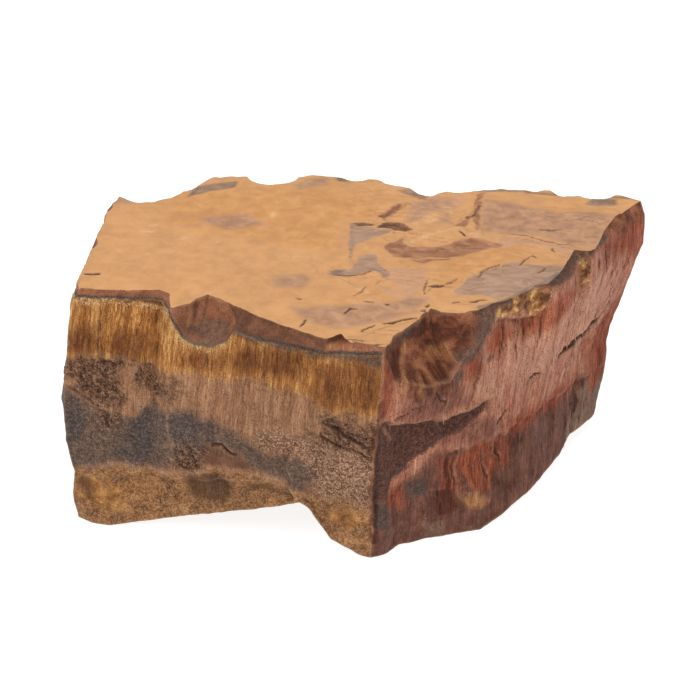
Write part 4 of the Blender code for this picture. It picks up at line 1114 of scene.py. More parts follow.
@dataclass(frozen=True)
class Underside:
    """The ground side: pits that keep clear of the rim and of a flat spot that the stone rests on."""

    pit_size: float = 8.0
    pit_depth: float = 2.4
    pit_level: float = 0.12
    pock_size: float = 2.6
    pock_depth: float = 0.25
    rest_spot: Pair = (8.0, 10.0)
    rest_radius: float = 7.0
    seed: int = 5

    def height(self, walls: Sequence[Wall], x: Array, y: Array, loop: Array) -> Array:
        """Height of the underside at each place.

        Args:
            walls: The walls, whose base rows lift its edges.
            x: X of each place.
            y: Y of each place.
            loop: The outline of the base.

        Returns:
            One height for each place.
        """
        height = np.zeros_like(x)
        for wall in walls:
            height = np.maximum(height, self.lift(wall, x, y))
        hollows = waves(stretched(x, y, self.pit_size, self.pit_size), self.seed) - self.pit_level
        pocks = waves(stretched(x, y, self.pock_size, self.pock_size), self.seed + 1)
        pits = self.pit_depth * np.clip(hollows, 0, 1) + self.pock_depth * np.clip(pocks, 0, 1)
        from_spot = np.hypot(x - self.rest_spot[0], y - self.rest_spot[1]) - self.rest_radius
        pits *= smooth(from_spot / self.pit_size) * smooth(room_inside(x, y, loop) / self.pit_size)
        return height + pits

    def lift(self, wall: Wall, x: Array, y: Array) -> Array:
        """How far the underside is lifted behind the raised stretch of one wall's base."""
        row = np.array(wall.base, float)
        chord = row[-1, :2] - row[0, :2]
        chord = chord / np.linalg.norm(chord)
        inward = np.array((-chord[1], chord[0]))
        along = (row[:, :2] - row[0, :2]) @ chord
        inset = (row[:, :2] - row[0, :2]) @ inward
        here_along = (x - row[0, 0]) * chord[0] + (y - row[0, 1]) * chord[1]
        here_inset = (x - row[0, 0]) * inward[0] + (y - row[0, 1]) * inward[1]
        raised = np.interp(here_along, along, row[:, 2], left=0, right=0)
        depth = (here_inset - np.interp(here_along, along, inset)) / wall.lift_reach
        return raised * np.sqrt(1 - np.clip(depth, 0, 1) ** 2)


@dataclass(frozen=True)
class Chips:
    """Small chips knocked out of the edges by balls that sit just outside them.

    The two front walls have scars of their own, so their edges get none.
    """

    count: int = 20
    radius: Pair = (3.5, 7.5)
    bite: Pair = (0.4, 1.2)
    low_share: float = 0.35
    steepness: float = 1.6
    first_plain_wall: int = 2
    seed: int = 11

    def knock(self, points: Array, grids: Sequence[Array]) -> None:
        """Pushes the points near some edge points in, onto the surface of a ball.

        Args:
            points: All points of the stone, changed in place.
            grids: The points of each wall, in columns from the skin down.
        """
        draw = np.random.default_rng(self.seed)
        middle = points.mean(0)
        for _ in range(self.count):
            low = draw.random() < self.low_share
            wall = draw.integers(self.first_plain_wall, len(grids))
            column = int(draw.random() * len(grids[wall]))
            edge = grids[wall][column, -1 if low else 0]
            radius = draw.uniform(*self.radius)
            away = (edge - middle) * (1, 1, self.steepness)
            centre = edge + away / np.linalg.norm(away) * (radius - draw.uniform(*self.bite))
            offset = points - centre
            gap = np.linalg.norm(offset, axis=1)
            hit = gap < radius
            points[hit] = centre + offset[hit] / gap[hit, None] * radius


@dataclass
class Surface:
    """The stone's points and faces, with what the finishes need to know.

    zones holds one Zone value a face, grain one pair of coordinates a face corner, and depths one
    value a point for each attribute.
    """

    points: Array
    faces: list[tuple[int, ...]]
    zones: Array
    grain: Array
    depths: dict[str, Array]


ROW_HEIGHT = math.sqrt(0.75)
ROOM_AT_EDGE = 0.45
MERGE_WITHIN = 1e-7


def cap_faces(loop: Array, step: float) -> tuple[Array, list[list[int]]]:
    """Fills a closed outline with near-even triangles.

    Args:
        loop: The outline, anticlockwise from above.
        step: Size of the triangles.

    Returns:
        The new points inside the outline, and the triangles. New points are numbered after those of
        the outline.
    """
    low, high = loop.min(0), loop.max(0)
    rows = int((high[1] - low[1]) / (step * ROW_HEIGHT)) + 1
    columns = int((high[0] - low[0]) / step) + 1
    row, column = np.divmod(np.arange(rows * columns), columns)
    x = low[0] + step * (column + 0.5 * (row % 2))
    y = low[1] + step * ROW_HEIGHT * row
    keep = room_inside(x, y, loop) > ROOM_AT_EDGE * step
    points = np.concatenate([loop, np.stack([x[keep], y[keep]], axis=1)])
    count = len(loop)
    edges = [(i, (i + 1) % count) for i in range(count)]
    found = delaunay_2d_cdt([Vector(p) for p in points], edges, [list(range(count))], 1, MERGE_WITHIN)
    origin = [olds[0] for olds in found[3]]
    return points[count:], [[origin[i] for i in face] for face in found[2]]


@dataclass(frozen=True)
class StoneBlock:
    """The whole stone: a ring of walls closed by the skin and the underside."""

    walls: Sequence[Wall] = (FRONT_LEFT, FRONT_RIGHT, BACK_RIGHT, BACK_LEFT, LEFT_END)
    skin: Skin = Skin()
    underside: Underside = Underside()
    chips: Chips = Chips()
    shown_step: float = 0.42
    hidden_step: float = 0.66
    down_step: float = 0.58
    skin_step: float = 0.46
    underside_step: float = 1.4
    band_rows: int = 12
    roughness: Sequence[Pair] = ((0.22, 4.0), (0.11, 1.3))
    rim_fade: float = 3.0
    pale_tips: float = 0.9
    post_margin: float = 2.0
    crust_margin: float = 1.2
    contact_height: float = 4.0

    ROUGH_SEEDS = (3.1, 17.7, 29.3)

    def carved_wall(self, wall: Wall, columns: int, rows: int) -> tuple[Array, dict[str, Array]]:
        """The band and the face of one wall, with their relief.

        Args:
            wall: The wall.
            columns: Cells along the wall.
            rows: Cells from the crust row down to the base.

        Returns:
            The grid of points, and one grid of values for each attribute.
        """
        band, width = wall.band(columns, self.band_rows)
        grid = np.concatenate([band, wall.face(columns, rows)], axis=1)
        share = np.linspace(0, 1, columns + 1)[:, None] + np.zeros(grid.shape[:2])
        along = share * wall.length()
        level = np.arange(grid.shape[1])[None, :] - self.band_rows
        weight = smooth(np.minimum(along, wall.length() - along) / self.post_margin)
        weight *= smooth(level / rows * SKIN_PLANE.height / self.crust_margin)
        weight *= smooth((rows - level) / rows * SKIN_PLANE.height / self.crust_margin)
        relief, stains = wall.relief(along.ravel(), grid[..., 2].ravel())
        skin_rise, skin_stains = self.skin.relief(grid[..., 0].ravel(), grid[..., 1].ravel())
        on_skin = np.clip(-level / self.band_rows, 0, 1)
        grid[..., :2] += (weight * relief.reshape(along.shape))[..., None] * wall.out()
        grid[..., 2] += on_skin * skin_rise.reshape(along.shape)
        depths = {stain.value: values.reshape(along.shape) for stain, values in stains.items()}
        for stain in self.skin.marks:
            depths[stain.value] = skin_stains[stain].reshape(along.shape)
        above_crust_line = on_skin * width[:, None]
        below_crust_line = np.maximum(level, 0) * self.down_step
        band_depth = above_crust_line - below_crust_line
        depths[wall.band_stain.value] = np.maximum(depths[wall.band_stain.value], band_depth)
        depths[Stain.RIM.value] = wall.rim_width - above_crust_line - self.rim_fade * below_crust_line
        room = np.minimum(level, rows - level) * self.down_step
        depths[EDGE_ROOM] = np.minimum(room, np.minimum(along, wall.length() - along))
        if wall.golden:
            past_reach = np.maximum(along - wall.pale_reach, 0)
            tips = self.pale_tips - below_crust_line - above_crust_line - past_reach
            depths[Stain.CREAM.value] = np.maximum(depths[Stain.CREAM.value], tips)
        return grid, depths

    def roughen(self, points: Array) -> None:
        """Breaks up the straight edges with a little noise, and keeps the ground contact flat."""
        level = smooth(points[:, 2] / self.contact_height)
        smooth_points = points.copy()
        for height, size in self.roughness:
            shift = np.column_stack([waves(smooth_points / size, seed) for seed in self.ROUGH_SEEDS])
            shift[:, 2] *= level
            points += height * shift

    def surface(self) -> Surface:
        """Builds the carved block with its faces pointing out."""
        rows = round(SKIN_PLANE.height / self.down_step)
        steps = [self.shown_step if wall.shown else self.hidden_step for wall in self.walls]
        counts = [round(wall.length() / step) for wall, step in zip(self.walls, steps)]
        carved = [self.carved_wall(wall, count, rows) for wall, count in zip(self.walls, counts)]
        ring = np.concatenate([grid[:-1] for grid, _ in carved])
        columns, levels = ring.shape[:2]
        names = carved[0][1].keys()
        ring_depths = {name: np.concatenate([d[name][:-1] for _, d in carved]).ravel() for name in names}
        wall = ring.reshape(-1, 3)
        self.roughen(wall)

        top_loop, base_loop = ring[:, 0, :2], ring[:, -1, :2]
        top_xy, top_faces = cap_faces(top_loop, self.skin_step)
        base_xy, base_faces = cap_faces(base_loop, self.underside_step)
        rise, skin_stains = self.skin.relief(*top_xy.T)
        top = np.column_stack([top_xy, SKIN_PLANE.at(*top_xy.T) + rise])
        base = np.column_stack([base_xy, self.underside.height(self.walls, *base_xy.T, base_loop)])
        points = np.concatenate([wall, top, base])
        self.chips.knock(points, [grid for grid, _ in carved])
        points[:, 2] = np.maximum(points[:, 2], 0)

        depths = {}
        skin_depths = {stain.value: values for stain, values in skin_stains.items()}
        for name, values in ring_depths.items():
            on_top = skin_depths.get(name, np.full(len(top), FAR_OUTSIDE))
            depths[name] = np.concatenate([values, on_top, np.full(len(base), FAR_OUTSIDE)])

        ways = np.concatenate([[0], np.cumsum(np.repeat(steps, counts))])
        quads, quad_zones, quad_grain = self.ring_faces(ways, levels)
        first = np.arange(columns) * levels
        top_index = np.concatenate([first, len(wall) + np.arange(len(top))])
        base_index = np.concatenate([first + levels - 1, len(wall) + len(top) + np.arange(len(base))])
        top_tris = [tuple(int(top_index[i]) for i in face) for face in top_faces]
        base_tris = [tuple(int(base_index[i]) for i in reversed(face)) for face in base_faces]
        flat_corners = np.array(top_tris + base_tris).ravel()
        zones = [Zone.SKIN.value] * len(top_tris) + [Zone.UNDERSIDE.value] * len(base_tris)
        height_at = points[:, 2]
        quad_grain = np.stack([quad_grain, height_at[np.array(quads).ravel()]], axis=1)
        return Surface(
            points=points,
            faces=quads + top_tris + base_tris,
            zones=np.concatenate([quad_zones, zones]),
            grain=np.concatenate([quad_grain, points[flat_corners, :2]]),
            depths=depths,
        )

    def ring_faces(self, ways: Array, levels: int) -> tuple[list[tuple[int, ...]], Array, Array]:
        """The faces of the crust band and the walls.

        Args:
            ways: Way round the block at each column of points, with the first column again at the end.
            levels: Points in each column, from the skin's edge down.

        Returns:
            The faces, their zones, and the way round the block at each of their corners.
        """
        columns = len(ways) - 1
        faces, zones, corners = [], [], []
        for column in range(columns):
            here, after = column * levels, (column + 1) % columns * levels
            for level in range(levels - 1):
                faces.append((here + level, here + level + 1, after + level + 1, after + level))
                zones.append(Zone.WALL.value)
                corners += [ways[column], ways[column], ways[column + 1], ways[column + 1]]
        return faces, np.array(zones), np.array(corners)


class NodeSheet:
    """Adds nodes to a tree and wires them."""

    MIX_INPUTS = (0, 6, 7)
    MIX_RESULT = 2

    def __init__(self, tree: NodeTree) -> None:
        """Starts on a tree."""
        self.tree = tree

    def feed(self, socket: Socket, value: Any) -> None:
        """Links a socket into another, or sets its own value."""
        if isinstance(value, Socket):
            self.tree.links.new(value, socket)
        else:
            socket.default_value = value

    def node(self, kind: str, inputs: Optional[Mapping[Any, Any]] = None, **settings: Any) -> Node:
        """Adds one node.

        Args:
            kind: The node's type.
            inputs: Values or sockets, by input name or number.
            **settings: The node's own options.

        Returns:
            The node.
        """
        node = self.tree.nodes.new(kind)
        for name, value in settings.items():
            setattr(node, name, value)
        for name, value in (inputs or {}).items():
            self.feed(node.inputs[name], value)
        return node

    def math(self, operation: str, *values: Value) -> Socket:
        """One step of arithmetic."""
        return self.node("ShaderNodeMath", dict(enumerate(values)), operation=operation).outputs[0]

    def attribute(self, name: str) -> Socket:
        """A value that the mesh holds at each point."""
        return self.node("ShaderNodeAttribute", attribute_name=name).outputs["Fac"]

    def mix(self, factor: Value, first: Any, second: Any, blend: str = "MIX") -> Socket:
        """Mixes two colours."""
        inputs = dict(zip(self.MIX_INPUTS, (factor, first, second)))
        return self.node("ShaderNodeMix", inputs, data_type="RGBA", blend_type=blend).outputs[self.MIX_RESULT]

    def stretch(self, vector: Socket, scale: Any) -> Socket:
        """Scales a vector along each axis."""
        return self.node("ShaderNodeVectorMath", {0: vector, 1: scale}, operation="MULTIPLY").outputs[0]

    def noise(self, vector: Socket, scale: float, detail: float = 3.0, roughness: float = 0.55,
              distortion: float = 0.0) -> Socket:
        """Noise from 0 to 1.

        Args:
            vector: Where it is read.
            scale: Cells in each unit of the vector.
            detail: Number of finer layers.
            roughness: How strong the finer layers are.
            distortion: How much the noise swirls.

        Returns:
            The noise's value.
        """
        inputs = {"Vector": vector, "Scale": scale, "Detail": detail, "Roughness": roughness,
                  "Distortion": distortion}
        return self.node("ShaderNodeTexNoise", inputs).outputs["Fac"]

    def ease(self, value: Value, low: Value, high: Value, to_low: float = 0, to_high: float = 1) -> Socket:
        """Maps a value from one range to another with soft ends."""
        inputs = {"Value": value, "From Min": low, "From Max": high, "To Min": to_low, "To Max": to_high}
        return self.node("ShaderNodeMapRange", inputs, interpolation_type="SMOOTHSTEP").outputs[0]

    def shades(self, value: Socket, colours: Sequence[int], low: float, high: float) -> Socket:
        """A ramp through some colours, evenly between two values."""
        ramp = self.node("ShaderNodeValToRGB", {0: value})
        stops = ramp.color_ramp.elements
        while len(stops) < len(colours):
            stops.new(0.5)
        for place, stop in zip(np.linspace(low, high, len(colours)), stops):
            stop.position = float(place)
        for stop, colour in zip(stops, colours):
            stop.color = linear(colour)
        return ramp.outputs["Color"]

    def group(self, tree: NodeTree, inputs: Mapping[str, Any]) -> Node:
        """Places a shared node group."""
        node = self.tree.nodes.new("ShaderNodeGroup")
        node.node_tree = tree
        for name, value in inputs.items():
            self.feed(node.inputs[name], value)
        return node


def linear(colour: int) -> tuple[float, float, float, float]:
    """A screen colour given as 0xRRGGBB, in the scene-linear values that a shader takes."""
    parts = [(colour >> shift & 255) / 255 for shift in (16, 8, 0)]
    parts = [c / 12.92 if c <= 0.04045 else ((c + 0.055) / 1.055) ** 2.4 for c in parts]
    return (parts[0], parts[1], parts[2], 1.0)


class SharedEffects:
    """The node groups that more than one finish uses, each built once."""

    BROAD_SHARE, THREAD_SHARE, BUNDLE_SHARE = 0.42, 0.3, 0.28
    THREAD_SCALE, BUNDLE_SCALE = 3.1, 0.2
    CRUMB_SCALE, DUST_SCALE = 0.9, 2.3
    CRUMB_SHARE, GRAIN_SHARE, DUST_SHARE = 0.5, 0.25, 0.25
    BRIGHT_FROM, DARK_FROM = 0.82, 1.36
    CORE_EDGE, CORE_TOP = 0.45, 0.25
    CORE_HEIGHT, GRAIN_HEIGHT = 0.4, 0.8

    def __init__(self) -> None:
        """Builds the groups."""
        self.ragged_edge = self.build_ragged_edge()
        self.fibres = self.build_fibres()
        self.grains = self.build_grains()

    @staticmethod
    def start(name: str, inputs: Mapping[str, str], outputs: Iterable[str]) -> tuple[NodeSheet, Any, Any]:
        """Starts a group.

        Args:
            name: The group's name.
            inputs: Socket type of each named input.
            outputs: Names of the outputs, all of them values.

        Returns:
            The sheet to add nodes on, what the group is given, and what it has to make.
        """
        tree = bpy.data.node_groups.new(name, "ShaderNodeTree")
        for socket, kind in inputs.items():
            tree.interface.new_socket(socket, in_out="INPUT", socket_type=kind)
        for socket in outputs:
            tree.interface.new_socket(socket, in_out="OUTPUT", socket_type="NodeSocketFloat")
        given, made = tree.nodes.new("NodeGroupInput"), tree.nodes.new("NodeGroupOutput")
        return NodeSheet(tree), given.outputs, made.inputs

    def build_ragged_edge(self) -> NodeTree:
        """A mask from the depth inside a mark, with its edge torn by a pattern."""
        number = "NodeSocketFloat"
        names = {"Depth": number, "Pattern": number, "Torn": number, "Soft": number}
        sheet, given, made = self.start("ragged_edge", names, ["Mask"])
        swing = sheet.math("MULTIPLY_ADD", given["Pattern"], 2.0, -1.0)
        depth = sheet.math("MULTIPLY_ADD", swing, given["Torn"], given["Depth"])
        low = sheet.math("MULTIPLY", given["Soft"], -1.0)
        sheet.feed(made["Mask"], sheet.ease(depth, low, given["Soft"]))
        return sheet.tree

    def build_fibres(self) -> NodeTree:
        """Streaks that run along the second coordinate of the grain map, which is in millimetres."""
        names = {"Grain": "NodeSocketVector", "Across": "NodeSocketFloat", "Down": "NodeSocketFloat"}
        sheet, given, made = self.start("fibre_streaks", names, ["Streaks"])
        across, down = given["Across"], given["Down"]
        size = sheet.node("ShaderNodeCombineXYZ", {0: across, 1: down, 2: 1.0}).outputs[0]
        vector = sheet.stretch(given["Grain"], size)
        broad = sheet.noise(vector, scale=1.0, detail=4.0, roughness=0.62)
        threads = sheet.noise(vector, self.THREAD_SCALE, detail=2.0, roughness=0.6)
        bundles = sheet.noise(vector, self.BUNDLE_SCALE, detail=2.0, roughness=0.5)
        blend = sheet.math("MULTIPLY", broad, self.BROAD_SHARE)
        blend = sheet.math("MULTIPLY_ADD", threads, self.THREAD_SHARE, blend)
        blend = sheet.math("MULTIPLY_ADD", bundles, self.BUNDLE_SHARE, blend)
        sheet.feed(made["Streaks"], blend)
        return sheet.tree

    def build_grains(self) -> NodeTree:
        """Small angular grains: their shade, masks of the few bright and dark ones, and their height."""
        names = {"Place": "NodeSocketVector", "Scale": "NodeSocketFloat"}
        sheet, given, made = self.start("mineral_grains", names, ["Grain", "Bright", "Dark", "Height"])
        place, scale = given["Place"], given["Scale"]
        cells = sheet.node("ShaderNodeTexVoronoi", {"Vector": place, "Scale": scale})
        tint = sheet.node("ShaderNodeSeparateColor", {0: cells.outputs["Color"]})
        dust_scale = sheet.math("MULTIPLY", scale, self.DUST_SCALE)
        dust = sheet.node("ShaderNodeTexVoronoi", {"Vector": place, "Scale": dust_scale})
        dust_tint = sheet.node("ShaderNodeSeparateColor", {0: dust.outputs["Color"]})
        crumbs = sheet.noise(place, self.CRUMB_SCALE, detail=4.0, roughness=0.6)
        value = sheet.math("MULTIPLY", crumbs, self.CRUMB_SHARE)
        value = sheet.math("MULTIPLY_ADD", tint.outputs[0], self.GRAIN_SHARE, value)
        value = sheet.math("MULTIPLY_ADD", dust_tint.outputs[0], self.DUST_SHARE, value)
        core = sheet.ease(cells.outputs["Distance"], self.CORE_EDGE, self.CORE_TOP)
        bright = sheet.math("GREATER_THAN", tint.outputs[1], self.BRIGHT_FROM)
        dark = sheet.math("GREATER_THAN", sheet.math("ADD", dust_tint.outputs[1], crumbs), self.DARK_FROM)
        height = sheet.math("MULTIPLY", value, self.GRAIN_HEIGHT)
        sheet.feed(made["Grain"], value)
        sheet.feed(made["Bright"], sheet.math("MULTIPLY", bright, core))
        sheet.feed(made["Dark"], dark)
        sheet.feed(made["Height"], sheet.math("MULTIPLY_ADD", core, self.CORE_HEIGHT, height))
        return sheet.tree


@dataclass(frozen=True)
class Layer:
    """One colour laid over those before it wherever its stain shows: the stone's own, or for some stains
    painted shade, highlight or sheen.

    A pattern tears its edge by up to torn millimetres, and it fades over soft millimetres to each side.
    """

    stain: Stain
    shades: Sequence[int]
    pattern: Pattern = Pattern.MOTTLE
    edge: Pattern = Pattern.MOTTLE
    torn: float = 1.0
    soft: float = 0.4
    strength: float = 1.0


@dataclass(frozen=True)
class StoneFinish:
    """A finish: base shades, then layers of colour, then relief too fine for the mesh.

    The fibres stand out less where a calm stain shows, and the grains more where a coarse one shows.
    """

    name: str
    shades: Sequence[int]
    pattern: Pattern
    layers: Sequence[Layer]
    fibre_size: Pair = (2.2, 0.17)
    broad_tint: float = 0.1
    roughness: Pair = (0.6, 0.85)
    fibre_height: float = 0.17
    grain_height: float = 0.12
    grain_scale: float = 2.6
    specular: float = 0.2
    pepper: float = 0.0
    pale_grains: float = 0.0
    calm: Sequence[Stain] = ()
    coarse: Sequence[Stain] = ()

    RAMP = (0.37, 0.63)
    SCRATCH_STRETCH = (0.3, 0.6, 0.6)
    TINT_RANGE = (0.3, 0.7)
    STAIN_EDGE = (-0.6, 0.6)
    SPARKLE_EDGE = (-0.5, 1.0)
    CALM_SHARE = 0.2
    COARSE_SHARE = 2.2
    DARK_GRAIN = 0x3E2A20
    PALE_GRAIN = 0xCDAC8C
    PALE_GRAINS_IN_SPECKLE = 0.5
    # Painted shade in the mesh's hollows, and a painted highlight on its ridges.
    HOLLOW_SHADE = 0.6
    RIDGE_HIGHLIGHT_COLOUR = 0xE0B48E
    RIDGE_HIGHLIGHT_STRENGTH = 0.18

    def material(self, effects: SharedEffects) -> bpy.types.Material:
        """Builds the material.

        Args:
            effects: The shared node groups.

        Returns:
            The material.
        """
        material = bpy.data.materials.new(self.name)
        material.use_nodes = True
        sheet = NodeSheet(material.node_tree)
        shader = material.node_tree.nodes["Principled BSDF"]
        patterns, fibres, grains = self.patterns(sheet, effects)
        colour = sheet.shades(patterns[self.pattern], self.shades, *self.RAMP)
        for layer in self.layers:
            depth = sheet.attribute(layer.stain.value)
            inputs = {"Depth": depth, "Pattern": patterns[layer.edge], "Torn": layer.torn, "Soft": layer.soft}
            mask = sheet.group(effects.ragged_edge, inputs).outputs["Mask"]
            mask = sheet.math("MULTIPLY", mask, layer.strength)
            colour = sheet.mix(mask, colour, sheet.shades(patterns[layer.pattern], layer.shades, *self.RAMP))
        colour = self.finish_colour(sheet, colour, patterns, grains)
        sheet.feed(shader.inputs["Base Color"], colour)
        roughness = sheet.ease(patterns[Pattern.MOTTLE], *self.TINT_RANGE, *self.roughness)
        sheet.feed(shader.inputs["Roughness"], roughness)
        shader.inputs["Specular IOR Level"].default_value = self.specular
        threads = self.height_beside(sheet, self.calm, self.fibre_height, self.CALM_SHARE)
        crumbs = self.height_beside(sheet, self.coarse, self.grain_height, self.COARSE_SHARE)
        height = sheet.math("MULTIPLY", fibres.outputs["Streaks"], threads)
        height = sheet.math("MULTIPLY_ADD", grains.outputs["Height"], crumbs, height)
        bump = sheet.node("ShaderNodeBump", {"Strength": 1.0, "Distance": MM, "Height": height})
        sheet.feed(shader.inputs["Normal"], bump.outputs["Normal"])
        return material

    def height_beside(self, sheet: NodeSheet, stains: Sequence[Stain], height: float, share: float) -> Value:
        """A height that is smaller or greater where some stains show.

        Args:
            sheet: The sheet to add nodes on.
            stains: The stains.
            height: The height elsewhere.
            share: What it is multiplied by in each of the stains.

        Returns:
            The height.
        """
        for stain in stains:
            here = sheet.ease(sheet.attribute(stain.value), *self.STAIN_EDGE, 1.0, share)
            height = sheet.math("MULTIPLY", here, height)
        return height

    def patterns(self, sheet: NodeSheet, effects: SharedEffects) -> tuple[dict[Pattern, Socket], Node, Node]:
        """Adds the patterns that colours and edges follow.

        Args:
            sheet: The sheet to add nodes on.
            effects: The shared node groups.

        Returns:
            The patterns, and the group nodes of the fibres and the grains.
        """
        grain = sheet.node("ShaderNodeAttribute", attribute_name=GRAIN).outputs["Vector"]
        place = sheet.node("ShaderNodeTexCoord").outputs["Object"]
        place = sheet.stretch(place, (1 / MM, 1 / MM, 1 / MM))
        across, down = self.fibre_size
        fibres = sheet.group(effects.fibres, {"Grain": grain, "Across": across, "Down": down})
        grains = sheet.group(effects.grains, {"Place": place, "Scale": self.grain_scale})
        drawn_out = sheet.stretch(place, self.SCRATCH_STRETCH)
        patterns = {
            Pattern.FIBRES: fibres.outputs["Streaks"],
            Pattern.MOTTLE: sheet.noise(place, scale=0.35, detail=6.0, roughness=0.62, distortion=0.4),
            Pattern.GRAINS: grains.outputs["Grain"],
            Pattern.BROAD: sheet.noise(place, scale=0.09),
            Pattern.SCRATCHES: sheet.noise(drawn_out, scale=0.7, detail=6.0, roughness=0.6, distortion=1.2),
        }
        return patterns, fibres, grains

    def finish_colour(self, sheet: NodeSheet, colour: Socket, patterns: Mapping[Pattern, Socket],
                      grains: Node) -> Socket:
        """Adds grains and broad tints to the layered colour, paints shade into hollows and a highlight onto
        ridges.

        Args:
            sheet: The sheet to add nodes on.
            colour: The layered colour.
            patterns: The patterns by name.
            grains: The group node of the grains.

        Returns:
            The finished colour.
        """
        pepper = sheet.math("MULTIPLY", grains.outputs["Dark"], self.pepper)
        colour = sheet.mix(pepper, colour, linear(self.DARK_GRAIN))
        speckle = sheet.attribute(Stain.SPECKLE.value)
        sparkle = sheet.ease(speckle, *self.SPARKLE_EDGE, self.pale_grains, self.PALE_GRAINS_IN_SPECKLE)
        sparkle = sheet.math("MULTIPLY", grains.outputs["Bright"], sparkle)
        colour = sheet.mix(sparkle, colour, linear(self.PALE_GRAIN))
        tint = (1 - self.broad_tint, 1 + self.broad_tint)
        broad = sheet.ease(patterns[Pattern.BROAD], *self.TINT_RANGE, *tint)
        # Painted shade: the colour is darkened where the mesh is hollow.
        hollow = sheet.ease(sheet.attribute(PAINTED_HOLLOW_SHADE), 0.0, 1.0, 1.0, self.HOLLOW_SHADE)
        shade = sheet.math("MULTIPLY", broad, hollow)
        grey = sheet.node("ShaderNodeCombineColor", {0: shade, 1: shade, 2: shade}).outputs[0]
        colour = sheet.mix(1.0, colour, grey, "MULTIPLY")
        # Painted highlight: the colour is lightened towards a pale tan where the mesh stands out in a ridge.
        ridge_highlight = sheet.ease(sheet.attribute(PAINTED_RIDGE_HIGHLIGHT), 0.0, 1.0, 0.0, self.RIDGE_HIGHLIGHT_STRENGTH)
        return sheet.mix(ridge_highlight, colour, linear(self.RIDGE_HIGHLIGHT_COLOUR))


